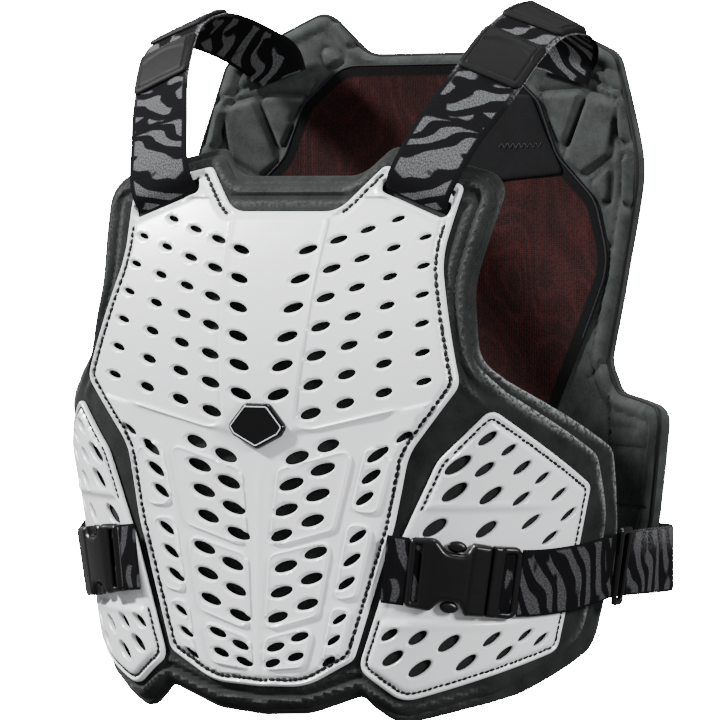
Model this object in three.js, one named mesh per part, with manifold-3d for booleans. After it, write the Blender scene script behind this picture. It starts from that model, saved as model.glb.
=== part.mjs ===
// Roost deflector: vented hard plates on a foam front that wraps the ribs, a foam back pad
// with a mesh liner, elastic shoulder straps and buckled elastic waist straps.
// Millimetres. The wearer faces -Y, the wearer's left is +X, up is +Z.
import * as THREE from 'three';
import { mergeVertices } from 'three/addons/utils/BufferGeometryUtils.js';
import Module from 'manifold-3d';

const wasm = await Module();
wasm.setup();

// Where the shoulder straps rest, above and behind the middle of the chest plate
const shoulderBack = 160;
const shoulderUp = 300;

// Body form: plan radii of the chest, the crease beside it and the ribs, and the lean up the chest
const chestRadius = 1190;
const creaseRadius = 40;
const creaseTurn = 0.26;
const ribRadius = 155;
const creaseAcross = 137.6;
const waistTaper = 0.235;
const chestLeanRadius = 333;
const leanStart = 10;
const waistBreak = -45;
const waistLean = 0.022;
const frontBack = 2.5;
const backDepth = 249.5;
const backRadius = 1351;
const backFlat = 150;
const backWrapRadius = 130;

// Spacing of the lines along which flat solids are folded onto that form
const chestFold = 87;
const leanFold = 60;
const rimFold = 36;
const ribFold = 39;
const backFold = 75;
const wrapFold = 40;
const strapFold = 12;
const waistFold = 18;

// Chest plate: half width, rise and drop from the badge, walls and relief
const plateHalf = 160;
const plateRise = 193;
const plateDrop = 193;
const plateWall = 3;
const plateBorder = 10;
const plateRelief = 2;
const relief = 1.5;
const reliefSlope = 2;
const sunkShare = 0.8;
const throughCut = 24;

// Side plates: reach round the ribs from the crease, rise and drop
const sideReach = 143;
const sideDrop = 200;
const foamReach = 1.44;
const sideWall = 2.6;
const sideBorder = 8;
const sideRelief = 2.2;

// Foam and liner walls
const foamWall = 12;
const foamLayer = 4;
const foamBevel = 2;
const backHalf = 200;
const backRise = 316;
const backDrop = 212;
const backWall = 15;
const linerWall = 1.5;
const patchWall = 1.6;

// Elastic straps, shoulder tabs, badge and waist hardware
const shoulderWidth = 55;
const shoulderWall = 2.5;
const tabWall = 3;
const tabLength = 44;
const tabRound = 6;
const waistWidth = 50;
const waistWall = 2.2;
const waistLift = 6.8;
const badgeHalf = 24;
const badgeRise = 17;
const badgeWall = 4;
const badgeBase = 1;
const badgeSlope = 1.2;
const loopLength = 17;
const femaleLength = 60;
const buckleWidth = 54;
const buckleWall = 10.5;
const buckleRound = 4;
const gripDepth = 0.12;
const gripStart = 0.62;
const gripEnd = 0.22;
const mouthDepth = 30;
const mouthWidth = 40;
const mouthGap = 6;
const prongWidth = 8;
const maleLength = 24;
const barWidth = 5;
const sliderLength = 13;
const sliderWidth = 60;
const sliderWall = 4;
const sliderPlace = 0.47;
const sliderClear = 0.95;

// Clearances: between pieces that touch, and between a plate and the foam that it is sewn to
const gap = 0.35;
const seat = 0.9;

const paint = (color, roughness, metalness = 0) =>
  new THREE.MeshStandardMaterial({ color, roughness, metalness });
const white = paint(0xe4e6ea, 0.3);
const foamBlack = paint(0x26292a, 0.9);
const foamGrey = paint(0x3c413f, 0.9);
const meshRed = paint(0x2c1113, 0.85);
const bandBlack = paint(0x0d0e11, 0.8);
const elastic = paint(0x17181a, 0.85);
const rubber = paint(0x101112, 0.5);
const buckleBlack = paint(0x18191b, 0.4);
const badgeBlack = paint(0x0c0c0e, 0.25);

// Chest plate outline from the neck to the lowest point: shares of half width, of rise above the
// badge or drop below it, and corner radius as a share of half width
const plateCorners = [
  { across: 0, up: 0.823, round: 0 },
  { across: 0.29, up: 0.823, round: 0.16 },
  { across: 0.475, up: 1.0, round: 0.04 },
  { across: 0.9, up: 0.923, round: 0.04 },
  { across: 0.86, up: 0.648, round: 0.5 },
  { across: 1.01, up: 0.171, round: 0.09 },
  { across: 0.76, up: -0.093, round: 0.28 },
  { across: 0.69, up: -0.373, round: 0.9 },
  { across: 0.494, up: -0.881, round: 0.08 },
  { across: 0.25, up: -0.992, round: 0.35 },
  { across: 0, up: -1.0, round: 0 },
];

// Raised middle of the chest plate, between two ridges that run down to the badge
const middleCorners = [
  { across: 0, up: 0.76, round: 0 },
  { across: 0.24, up: 0.76, round: 0.1 },
  { across: 0.205, up: 0.3, round: 0.6 },
  { across: 0.15, up: 0.1, round: 0.1 },
  { across: 0.12, up: -0.1, round: 0.05 },
  { across: 0, up: -0.14, round: 0 },
];

// Raised panels on the lower half of one side, inner row then outer row: their four corners
const panelRows = [
  { inTop: [0.1, -0.16], outTop: [0.5, -0.07], outLow: [0.4, -0.39], inLow: [0.06, -0.47] },
  { inTop: [0.06, -0.49], outTop: [0.39, -0.42], outLow: [0.32, -0.72], inLow: [0.04, -0.79] },
  { inTop: [0.04, -0.81], outTop: [0.31, -0.75], outLow: [0.25, -0.92], inLow: [0.03, -0.94] },
  { inTop: [0.56, -0.06], outTop: [0.7, -0.1], outLow: [0.62, -0.32], inLow: [0.48, -0.32] },
  { inTop: [0.47, -0.36], outTop: [0.6, -0.36], outLow: [0.52, -0.64], inLow: [0.4, -0.66] },
  { inTop: [0.39, -0.68], outTop: [0.5, -0.68], outLow: [0.42, -0.92], inLow: [0.34, -0.92] },
];

// Vent columns of one side of the chest plate, grouped by their rise in degrees: first and last
// centre, count, half length and half width of the first and the last vent, as shares of half width
const ventGroups = [
  {
    rise: 22,
    columns: [
      { from: [0.181, 0.676], to: [0.101, 0.123], count: 6, long: [0.049, 0.059], wide: [0.017, 0.022] },
      { from: [0.326, 0.715], to: [0.268, 0.053], count: 7, long: [0.045, 0.055], wide: [0.015, 0.022] },
      { from: [0.468, 0.754], to: [0.446, 0.095], count: 7, long: [0.039, 0.048], wide: [0.013, 0.02] },
      { from: [0.611, 0.794], to: [0.641, 0.139], count: 7, long: [0.033, 0.043], wide: [0.012, 0.018] },
      { from: [0.766, 0.726], to: [0.838, 0.184], count: 6, long: [0.031, 0.039], wide: [0.011, 0.014] },
    ],
  },
  {
    rise: 26,
    columns: [
      { from: [0.356, -0.068], to: [0.193, -0.117], count: 2, long: [0.059, 0.064], wide: [0.025, 0.026] },
      { from: [0.169, -0.219], to: [0.116, -0.416], count: 3, long: [0.066, 0.062], wide: [0.024, 0.023] },
      { from: [0.333, -0.158], to: [0.282, -0.355], count: 3, long: [0.066, 0.062], wide: [0.024, 0.023] },
      { from: [0.144, -0.534], to: [0.102, -0.731], count: 3, long: [0.062, 0.058], wide: [0.023, 0.021] },
      { from: [0.301, -0.477], to: [0.261, -0.675], count: 3, long: [0.062, 0.058], wide: [0.023, 0.021] },
      { from: [0.095, -0.845], to: [0.076, -0.908], count: 2, long: [0.049, 0.045], wide: [0.018, 0.017] },
      { from: [0.221, -0.801], to: [0.201, -0.878], count: 2, long: [0.049, 0.045], wide: [0.018, 0.017] },
    ],
  },
  {
    rise: 34,
    columns: [
      { from: [0.742, -0.027], to: [0.742, -0.027], count: 1, long: [0.043, 0.043], wide: [0.014, 0.014] },
      { from: [0.613, -0.096], to: [0.549, -0.264], count: 3, long: [0.06, 0.05], wide: [0.02, 0.018] },
      { from: [0.516, -0.408], to: [0.46, -0.588], count: 3, long: [0.05, 0.05], wide: [0.017, 0.017] },
      { from: [0.427, -0.725], to: [0.368, -0.889], count: 3, long: [0.04, 0.04], wide: [0.014, 0.014] },
    ],
  },
];
const ventSides = 6;
const panelRound = 0.05;

// Slot for a shoulder strap, as shares of half width and rise, with its fall in degrees
const strapSlot = { across: 0.676, up: 0.877, long: 1.1, wide: 12, fall: 20.6 };

// Foam front outline: chest corners as the plate's, side corners as shares of the side reach
// from the crease and of the side drop
const foamNeck = [
  { across: 0, up: 0.961, round: 0 },
  { across: 0.34, up: 0.961, round: 0.15 },
  { across: 0.47, up: 1.078, round: 0.08 },
  { across: 1.1, up: 0.953, round: 0.16 },
  { across: 1.035, up: 0.56, round: 0.6 },
  { across: 1.1, up: 0.26, round: 0.2 },
];
const foamSide = [
  { reach: 0.37, up: 0.175, round: 0.2 },
  { reach: 1.16, up: -0.085, round: 0.12 },
  { reach: foamReach, up: -0.45, round: 0.4 },
  { reach: 1.42, up: -0.83, round: 0.2 },
  { reach: 0.85, up: -0.985, round: 0.4 },
  { reach: 0.2, up: -1.09, round: 0.22 },
  { reach: -0.06, up: -0.985, round: 0.06 },
];
const foamFoot = [
  { across: 0.25, up: -1.1, round: 0.3 },
  { across: 0, up: -1.115, round: 0 },
];

// Outer foam layer's outline at the side, whose step follows inside the base layer's edge
const layerSide = [
  { reach: 0.36, up: 0.14, round: 0.2 },
  { reach: 1.0, up: -0.1, round: 0.12 },
  { reach: 1.2, up: -0.35, round: 0.4 },
  { reach: 1.2, up: -0.78, round: 0.2 },
  { reach: 0.72, up: -0.96, round: 0.4 },
  { reach: 0.2, up: -1.06, round: 0.22 },
  { reach: -0.06, up: -0.965, round: 0.06 },
];
const layerInset = 5;
const leastRound = 5;
const cornerShare = 0.48;
const sharpest = 0.3;

// Side plate outline, and its two raised fields with the strap's channel between them
const sideCorners = [
  { reach: 0.3, up: 0.08, round: 0.07 },
  { reach: 0.975, up: -0.21, round: 0.06 },
  { reach: 0.993, up: -0.5, round: 1.4 },
  { reach: 1.0, up: -0.825, round: 0.07 },
  { reach: 0.19, up: -1.0, round: 0.17 },
  { reach: -0.09, up: -0.88, round: 0.1 },
  { reach: -0.03, up: -0.45, round: 0.6 },
  { reach: 0.085, up: -0.11, round: 0.2 },
];
const channelTop = -0.29;
const channelLow = -0.71;

// Back pad, liner and the band across the liner's upper left: shares of the back's half width
// and of its rise or drop
const backCorners = [
  { across: 0, up: 0.896, round: 0 },
  { across: 0.25, up: 0.896, round: 0.15 },
  { across: 0.44, up: 1.01, round: 0.09 },
  { across: 0.875, up: 0.885, round: 0.1 },
  { across: 1.01, up: 0.61, round: 0.4 },
  { across: 0.835, up: 0.135, round: 0.12 },
  { across: 0.89, up: 0.062, round: 0.06 },
  { across: 1.19, up: 0.03, round: 0.08 },
  { across: 1.1, up: -0.36, round: 0.2 },
  { across: 1.03, up: -0.5, round: 0.1 },
  { across: 0.76, up: -0.62, round: 0.2 },
  { across: 0.6, up: -0.97, round: 0.18 },
  { across: 0, up: -1.0, round: 0 },
];
const linerCorners = [
  { across: 0, up: 0.872, round: 0 },
  { across: 0.36, up: 0.872, round: 0.2 },
  { across: 0.535, up: 0.775, round: 0.12 },
  { across: 0.62, up: 0.64, round: 0.15 },
  { across: 0.8, up: 0.53, round: 0.18 },
  { across: 0.87, up: 0.375, round: 0.25 },
  { across: 0.61, up: 0.006, round: 0.4 },
  { across: 0.52, up: -0.3, round: 0.3 },
  { across: 0.44, up: -0.66, round: 0.15 },
  { across: 0, up: -0.7, round: 0 },
];
const patchCorners = [
  { across: 0.19, up: 0.79, round: 0.02 },
  { across: 0.5, up: 0.79, round: 0.05 },
  { across: 0.57, up: 0.69, round: 0.1 },
  { across: 0.65, up: 0.595, round: 0.02 },
  { across: 0.19, up: 0.57, round: 0.02 },
];

// Badge outline: shares of its half width and rise
const badgeCorners = [
  { across: 0, up: 1.0, round: 0 },
  { across: 0.42, up: 1.0, round: 0.2 },
  { across: 1.0, up: 0.0, round: 0.16 },
  { across: 0.8, up: -0.42, round: 0.2 },
  { across: 0, up: -1.0, round: 0.15 },
];

// Route of a shoulder strap, from the slot in the plate over the shoulder to the back pad:
// shares of the plate's half width, of the way back to the back pad and of the shoulder's height,
// and the way its width runs, falling outward by so many degrees
const shoulderRoute = [
  { across: 0.674, back: 0.186, up: 0.5565, fall: 21 },
  { across: 0.697, back: 0.171, up: 0.588, fall: 21 },
  { across: 0.731, back: 0.184, up: 0.635, fall: 21 },
  { across: 0.793, back: 0.249, up: 0.73, fall: 23 },
  { across: 0.878, back: 0.343, up: 0.833, fall: 25 },
  { across: 0.946, back: 0.456, up: 0.94, fall: 22 },
  { across: 0.978, back: 0.53, up: 0.985, fall: 20 },
  { across: 0.985, back: 0.62, up: 1.006, fall: 23 },
  { across: 0.98, back: 0.715, up: 1.01, fall: 26 },
  { across: 0.94, back: 0.82, up: 0.993, fall: 24 },
  { across: 0.88, back: 0.9, up: 0.963, fall: 20 },
  { across: 0.82, back: 0.944, up: 0.93, fall: 17 },
  { across: 0.79, back: 0.951, up: 0.88, fall: 16 },
];

// Track of the waist strap's middle: over the side in shares of the side reach and drop, then
// outside the back pad in shares of the back's half width and drop
const waistSide = [
  { reach: -0.05, up: -0.505 },
  { reach: 0.2, up: -0.525 },
  { reach: 0.45, up: -0.548 },
  { reach: 0.68, up: -0.562 },
  { reach: 0.92, up: -0.553 },
  { reach: 1.14, up: -0.53 },
  { reach: 1.27, up: -0.518 },
];
const waistBack = [
  { across: 1.14, up: -0.49 },
  { across: 1.02, up: -0.49 },
  { across: 0.9, up: -0.49 },
  { across: 0.78, up: -0.49 },
  { across: 0.64, up: -0.49 },
  { across: 0.5, up: -0.49 },
];

// A plan arc: the point reached from a start after a length, turning at a radius
function walk(from, radius, length) {
  const heading = from.heading + length / radius;
  return {
    x: from.x + radius * (Math.sin(heading) - Math.sin(from.heading)),
    y: from.y + radius * (Math.cos(from.heading) - Math.cos(heading)),
    heading,
  };
}

function walkAll(length, stretches) {
  let point = { x: 0, y: 0, heading: 0 };
  let left = length;
  for (const [stretch, radius] of stretches) {
    const step = Math.min(left, stretch);
    point = walk(point, radius, step);
    left -= step;
    if (left <= 0) break;
  }
  return point;
}

const creaseLength = creaseRadius * creaseTurn;
const creaseAt = (z) => creaseAcross + waistTaper * z;

function lean(z) {
  if (z > leanStart) return (z - leanStart) ** 2 / (2 * chestLeanRadius);
  return z < waistBreak ? waistLean * (z - waistBreak) : 0;
}

// Surfaces: across is the length along the plan curve, up the height, deep the way towards the wearer
function onPlan(across, up, deep, stretches) {
  const side = Math.sign(across) || 1;
  const plan = walkAll(Math.abs(across), stretches);
  return new THREE.Vector3(
    side * (plan.x - deep * Math.sin(plan.heading)),
    frontBack + lean(up) + plan.y + deep * Math.cos(plan.heading),
    up,
  );
}

const chestSurface = (across, up, deep) => onPlan(across, up, deep, [[Infinity, chestRadius]]);

const frontSurface = (across, up, deep) =>
  onPlan(across, up, deep, [
    [creaseAt(up) - creaseLength / 2, chestRadius],
    [creaseLength, creaseRadius],
    [Infinity, ribRadius],
  ]);

const sideSurface = (side) => (reach, up, deep) =>
  frontSurface(side * (creaseAt(up) + reach), up, deep);

function backSurface(across, up, deep) {
  const side = Math.sign(across) || 1;
  const plan = walkAll(Math.abs(across), [
    [backFlat, backRadius],
    [Infinity, backWrapRadius],
  ]);
  return new THREE.Vector3(
    side * (plan.x - deep * Math.sin(plan.heading)),
    backDepth - plan.y - deep * Math.cos(plan.heading),
    up,
  );
}

// Distance within which a point lies on a line, and margins for turning an edge in a flat face
const onLine = 1e-4;
const flipMargin = 1e-3;
const flatMargin = 1e-6;

// Corner lists in millimetres from shares
const sized = (rows, half, rise, drop) =>
  rows.map(({ across, up, round }) => ({
    x: across * half,
    y: up * (up > 0 ? rise : drop),
    round: round * half,
  }));

const sideSized = (rows) =>
  rows.map(({ reach, up, round }) => ({
    x: reach * sideReach,
    y: up * sideDrop,
    round: round * sideReach,
  }));

const fromCrease = (rows) => rows.map((row) => ({ ...row, x: creaseAt(row.y) + row.x }));

const mirrored = (half) => {
  const inner = half.filter((row) => row.x > 0);
  const other = inner.map((row) => ({ ...row, x: -row.x })).reverse();
  const ends = half.filter((row) => row.x === 0);
  return [ends[0], ...inner, ends[ends.length - 1], ...other];
};

// Moves each corner in by a distance, along its bisector
function inset(corners, distance) {
  const count = corners.length;
  const area = corners.reduce((sum, a, i) => {
    const b = corners[(i + 1) % count];
    return sum + a.x * b.y - b.x * a.y;
  }, 0);
  const inward = Math.sign(area) * distance;
  return corners.map((corner, i) => {
    const before = corners[(i + count - 1) % count];
    const after = corners[(i + 1) % count];
    const a = new THREE.Vector2(corner.x - before.x, corner.y - before.y).normalize();
    const b = new THREE.Vector2(after.x - corner.x, after.y - corner.y).normalize();
    const normal = new THREE.Vector2(-a.y - b.y, a.x + b.x).normalize();
    const reach = inward / Math.max(sharpest, normal.dot(new THREE.Vector2(-a.y, a.x)));
    const round = corner.round > 0 ? Math.max(corner.round - distance, leastRound) : 0;
    return { x: corner.x + normal.x * reach, y: corner.y + normal.y * reach, round };
  });
}

// The points of an outline with each corner rounded by a short curve, anticlockwise
function ring(corners, steps = 2) {
  const count = corners.length;
  const vector = (row) => new THREE.Vector2(row.x, row.y);
  const points = corners.flatMap((corner, i) => {
    const at = vector(corner);
    if (corner.round === 0) return [at];
    const toBefore = vector(corners[(i + count - 1) % count]).sub(at);
    const toAfter = vector(corners[(i + 1) % count]).sub(at);
    const turn = Math.PI - toBefore.angleTo(toAfter);
    const most = cornerShare * Math.min(toBefore.length(), toAfter.length());
    const tangent = Math.min(corner.round * Math.tan(turn / 2), most);
    const start = at.clone().add(toBefore.setLength(tangent));
    const end = at.clone().add(toAfter.setLength(tangent));
    return new THREE.QuadraticBezierCurve(start, at, end).getPoints(steps);
  });
  return THREE.ShapeUtils.isClockWise(points) ? points.reverse() : points;
}

// An outline with further points on its long edges, so that it can bend between them
function evened(points, longest) {
  return points.flatMap((p, i) => {
    const next = points[(i + 1) % points.length];
    const count = Math.max(1, Math.round(p.distanceTo(next) / longest));
    return Array.from({ length: count }, (_, k) => p.clone().lerp(next, k / count));
  });
}

const outline = (corners, steps) => new THREE.Shape(ring(corners, steps));

// Flat solids: x across, y up, z deep
function slab(shape, from, to) {
  const geometry = new THREE.ExtrudeGeometry(shape, { depth: to - from, bevelEnabled: false });
  return geometry.translate(0, 0, from);
}

// A raised field: its edges slope over the height, and below it is sunk into the wall
function raised(corners, height, slope, sunk, steps = 2) {
  const low = ring(corners, steps);
  const high = ring(inset(corners, slope), steps);
  const levels = [
    { points: high, z: -height },
    { points: low, z: 0 },
    { points: low, z: sunk },
  ];
  const count = low.length;
  const positions = levels.flatMap(({ points, z }) => points.flatMap((p) => [p.x, p.y, z]));
  const faces = [
    ...THREE.ShapeUtils.triangulateShape(high, []).map(([a, b, c]) => [a, c, b]),
    ...THREE.ShapeUtils.triangulateShape(low, []).map((face) => face.map((i) => i + 2 * count)),
  ];
  for (const base of [0, count]) {
    for (let i = 0; i < count; i += 1) {
      const next = (i + 1) % count;
      faces.push([base + i, base + next, base + count + next]);
      faces.push([base + i, base + count + next, base + count + i]);
    }
  }
  const geometry = new THREE.BufferGeometry();
  geometry.setAttribute('position', new THREE.Float32BufferAttribute(positions, 3));
  geometry.setIndex(faces.flat());
  return geometry;
}

function boxAt(x0, x1, y0, y1, z0, z1) {
  const geometry = new THREE.BoxGeometry(x1 - x0, y1 - y0, z1 - z0);
  return geometry.translate((x0 + x1) / 2, (y0 + y1) / 2, (z0 + z1) / 2);
}

function merged(geometry) {
  const bare = geometry.clone();
  bare.deleteAttribute('normal');
  bare.deleteAttribute('uv');
  return mergeVertices(bare, 1e-4);
}

function toSolid(geometry) {
  const clean = merged(geometry);
  return new wasm.Manifold(
    new wasm.Mesh({
      numProp: 3,
      vertProperties: Float32Array.from(clean.attributes.position.array),
      triVerts: Uint32Array.from(clean.index.array),
    }),
  );
}

function fromSolid(solid) {
  const mesh = solid.getMesh();
  const geometry = new THREE.BufferGeometry();
  geometry.setAttribute('position', new THREE.BufferAttribute(new Float32Array(mesh.vertProperties), 3));
  geometry.setIndex(new THREE.BufferAttribute(new Uint32Array(mesh.triVerts), 1));
  return geometry;
}

const joined = (...parts) => fromSolid(parts.map(toSolid).reduce((all, next) => all.add(next)));

const cut = (body, cutters) =>
  fromSolid(cutters.map(toSolid).reduce((left, cutter) => left.subtract(cutter), toSolid(body)));

// Turns the shared edge of two triangles that lie in one plane wherever the other diagonal of
// their quadrilateral is the better one, so that no triangle is long when the shape bends
function evenly(geometry) {
  const shape = merged(geometry);
  const position = shape.attributes.position;
  const points = Array.from({ length: position.count }, (_, i) =>
    new THREE.Vector3().fromBufferAttribute(position, i),
  );
  const index = Array.from(shape.index.array);
  const key = (a, b) => a * points.length + b;
  const away = (from, to) => points[to].clone().sub(points[from]);
  const angle = (at, a, b) => away(at, a).angleTo(away(at, b));
  const normal = (a, b, c) => away(a, b).cross(away(a, c)).normalize();
  let turned = true;
  while (turned) {
    turned = false;
    const corners = new Map();
    for (let i = 0; i < index.length; i += 3) {
      for (const k of [0, 1, 2]) {
        corners.set(key(index[i + k], index[i + ((k + 1) % 3)]), { i, far: index[i + ((k + 2) % 3)] });
      }
    }
    const used = new Set();
    for (const [edge, { i, far: c }] of corners) {
      const a = Math.floor(edge / points.length);
      const b = edge % points.length;
      const { i: j, far: d } = corners.get(key(b, a));
      if (used.has(i) || used.has(j) || corners.has(key(c, d)) || corners.has(key(d, c))) continue;
      if (angle(c, a, b) + angle(d, a, b) < Math.PI + flipMargin) continue;
      const [one, two] = [normal(a, b, c), normal(b, a, d)];
      if (one.dot(two) < 1 - flatMargin) continue;
      if (one.dot(normal(a, d, c)) < 1 - flatMargin || one.dot(normal(d, b, c)) < 1 - flatMargin) continue;
      index.splice(i, 3, a, d, c);
      index.splice(j, 3, d, b, c);
      used.add(i).add(j);
      turned = true;
    }
  }
  shape.setIndex(index);
  return shape;
}

// Cuts a flat convex polygon along a line x - tilt * y = at, or y = at, into the sides that it has
function divided(polygon, { axis, at, tilt = 0 }) {
  const value = (p) => (axis === 'x' ? p.x - tilt * p.y : p.y) - at;
  if (polygon.every((p) => Math.abs(value(p)) <= onLine)) return [polygon];
  const high = [];
  const low = [];
  polygon.forEach((p, i) => {
    const q = polygon[(i + 1) % polygon.length];
    const [a, b] = [value(p), value(q)];
    if (a >= -onLine) high.push(p);
    if (a <= onLine) low.push(p);
    if ((a > onLine && b < -onLine) || (a < -onLine && b > onLine)) {
      const [first, last, share] = a > 0 ? [p, q, a / (a - b)] : [q, p, b / (b - a)];
      const crossing = first.clone().lerp(last, share);
      high.push(crossing);
      low.push(crossing);
    }
  });
  return [high, low].filter((loop) => loop.some((p) => Math.abs(value(p)) > onLine));
}

// Cuts every face of a flat solid along lines, so that the solid can bend there
function scored(geometry, lines) {
  const flat = geometry.index ? geometry.toNonIndexed() : geometry;
  const position = flat.attributes.position;
  let faces = [];
  for (let i = 0; i < position.count; i += 3) {
    faces.push([0, 1, 2].map((k) => new THREE.Vector3().fromBufferAttribute(position, i + k)));
  }
  for (const line of lines) faces = faces.flatMap((face) => divided(face, line));
  const points = [];
  for (const face of faces) {
    for (let k = 1; k + 1 < face.length; k += 1) {
      for (const p of [face[0], face[k], face[k + 1]]) points.push(p.x, p.y, p.z);
    }
  }
  const result = new THREE.BufferGeometry();
  result.setAttribute('position', new THREE.Float32BufferAttribute(points, 3));
  return result;
}

const every = (axis, from, to, step, tilt) => {
  const count = Math.max(1, Math.round((to - from) / step));
  return Array.from({ length: count + 1 }, (_, i) => ({
    axis,
    tilt,
    at: from + ((to - from) * i) / count,
  }));
};

function signedVolume(geometry) {
  const p = geometry.attributes.position;
  const index = geometry.index.array;
  const [a, b, c] = [new THREE.Vector3(), new THREE.Vector3(), new THREE.Vector3()];
  let volume = 0;
  for (let i = 0; i < index.length; i += 3) {
    a.fromBufferAttribute(p, index[i]);
    b.fromBufferAttribute(p, index[i + 1]);
    c.fromBufferAttribute(p, index[i + 2]);
    volume += a.dot(b.cross(c)) / 6;
  }
  return volume;
}

// Bends a flat solid onto a surface
function bent(geometry, surface, lines = []) {
  const shape = merged(scored(geometry, lines));
  const position = shape.attributes.position;
  for (let i = 0; i < position.count; i += 1) {
    const p = surface(position.getX(i), position.getY(i), position.getZ(i));
    position.setXYZ(i, p.x, p.y, p.z);
  }
  if (signedVolume(shape) < 0) {
    const index = shape.index.array;
    for (let i = 0; i < index.length; i += 3) [index[i], index[i + 1]] = [index[i + 1], index[i]];
  }
  shape.computeVertexNormals();
  return shape;
}

const vest = new THREE.Group();
vest.name = 'roost_deflector';
vest.position.set(0, -shoulderBack, -shoulderUp);

function add(name, geometry, material) {
  const mesh = new THREE.Mesh(geometry, material);
  mesh.name = name;
  vest.add(mesh);
}

const sides = [
  { word: 'left', side: 1 },
  { word: 'right', side: -1 },
];

// Lines where the chest, rib and back surfaces bend
const chestLines = [
  ...every('x', -chestFold, chestFold, chestFold),
  ...every('y', leanFold, 2 * leanFold, leanFold),
];
const reachLines = [
  ...every('x', -creaseLength / 2, creaseLength / 2, creaseLength),
  ...every('x', creaseLength / 2, foamReach * sideReach, ribFold),
];
const backLines = [
  ...every('x', -backFlat, backFlat, backFold),
  ...[-2, -1, 1, 2].map((row) => ({ axis: 'x', at: Math.sign(row) * backFlat + row * wrapFold })),
];
const ribLines = (side) =>
  reachLines.map((line) => ({ ...line, at: side * (line.at + creaseAcross), tilt: side * waistTaper }));

function vents(side) {
  const at = ([across, up]) =>
    new THREE.Vector2(across * plateHalf, up * (up > 0 ? plateRise : plateDrop));
  const column = ({ from, to, count, long, wide }, rise) =>
    Array.from({ length: count }, (_, i) => {
      const share = count > 1 ? i / (count - 1) : 0;
      const centre = at(from).lerp(at(to), share);
      const halfLong = THREE.MathUtils.lerp(long[0], long[1], share) * plateHalf;
      const halfWide = THREE.MathUtils.lerp(wide[0], wide[1], share) * plateHalf;
      return new THREE.CylinderGeometry(1, 1, throughCut, ventSides)
        .rotateX(Math.PI / 2)
        .scale(halfLong, halfWide, 1)
        .rotateZ(THREE.MathUtils.degToRad(rise))
        .translate(centre.x, centre.y, 0)
        .scale(side, 1, 1);
    });
  return ventGroups.flatMap(({ rise, columns }) => columns.flatMap((row) => column(row, rise)));
}

// A mirrored copy of a closed geometry, with its faces turned back to point out
function turnedOut(geometry) {
  const shape = merged(geometry);
  if (signedVolume(shape) < 0) {
    const index = shape.index.array;
    for (let i = 0; i < index.length; i += 3) [index[i], index[i + 1]] = [index[i + 1], index[i]];
  }
  return shape;
}

function slotCutter(side) {
  const { across, up, long, wide, fall } = strapSlot;
  const length = long * shoulderWidth;
  return boxAt(-length / 2, length / 2, -wide / 2, wide / 2, -throughCut / 2, throughCut / 2)
    .rotateZ(THREE.MathUtils.degToRad(-fall * side))
    .translate(side * across * plateHalf, up * plateRise, 0);
}

function chestPlate() {
  const corners = mirrored(sized(plateCorners, plateHalf, plateRise, plateDrop));
  const base = slab(new THREE.Shape(evened(ring(corners), rimFold)), 0, plateWall);
  const sunk = sunkShare * plateWall;
  const field = raised(inset(corners, plateBorder), plateRelief, reliefSlope, sunk, 1);
  const middle = mirrored(sized(middleCorners, plateHalf, plateRise, plateDrop));
  const ridge = raised(middle, plateRelief + relief, reliefSlope, sunk, 1);
  const panels = sides.flatMap(({ side }) =>
    panelRows.map(({ inTop, outTop, outLow, inLow }) => {
      const rows = [inTop, outTop, outLow, inLow].map(([across, up]) => ({ across, up, round: panelRound }));
      const panel = sized(rows, plateHalf, plateRise, plateDrop);
      const placed = panel.map((row) => ({ ...row, x: side * row.x }));
      return raised(placed, plateRelief + relief, reliefSlope, sunk, 1);
    }),
  );
  const solid = joined(base, field, ridge, ...panels);
  const holes = sides.flatMap(({ side }) => [...vents(side), slotCutter(side)].map(turnedOut));
  return bent(evenly(cut(solid, holes)), chestSurface);
}

function foamFront() {
  const deep = plateWall + seat;
  const chest = (rows) => sized(rows, plateHalf, plateRise, plateDrop);
  const whole = mirrored([...chest(foamNeck), ...fromCrease(sideSized(foamSide)), ...chest(foamFoot)]);
  const layer = mirrored([
    ...inset(whole, layerInset).slice(0, foamNeck.length),
    ...fromCrease(sideSized(layerSide)),
    ...chest(foamFoot).map((row) => ({ ...row, y: row.y + layerInset })),
  ]);
  const base = slab(outline(whole), deep + foamLayer, deep + foamWall);
  const front = raised(layer, foamLayer, foamBevel, foamLayer / 2, 1);
  const solid = joined(base, front.translate(0, 0, deep + foamLayer));
  return bent(solid, frontSurface, [...chestLines, ...ribLines(1), ...ribLines(-1)]);
}

function sidePlate(side) {
  const corners = sideSized(sideCorners);
  const base = slab(outline(corners), 0, sideWall);
  const field = raised(inset(corners, sideBorder), sideRelief, reliefSlope, sunkShare * sideWall, 1);
  const far = 2 * sideReach;
  const channel = boxAt(-far, far, channelLow * sideDrop, channelTop * sideDrop, -far, -gap / 4);
  const solid = joined(base, cut(field, [channel]));
  return bent(solid, sideSurface(side), reachLines);
}

function badge() {
  const corners = mirrored(sized(badgeCorners, badgeHalf, badgeRise, badgeRise));
  const deep = -plateRelief - relief - gap;
  const body = raised(corners, badgeWall - badgeBase, badgeSlope, badgeBase);
  return bent(body.translate(0, 0, deep - badgeBase), chestSurface, [{ axis: 'x', at: 0 }]);
}

function backPad() {
  const corners = mirrored(sized(backCorners, backHalf, backRise, backDrop));
  const pad = raised(corners, foamBevel, foamBevel, backWall - foamBevel);
  return bent(pad.scale(1, 1, -1).translate(0, 0, -foamBevel), backSurface, backLines);
}

function liner() {
  const corners = mirrored(sized(linerCorners, backHalf, backRise, backDrop));
  return bent(slab(outline(corners), 2 * gap, 2 * gap + linerWall), backSurface, backLines);
}

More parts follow.
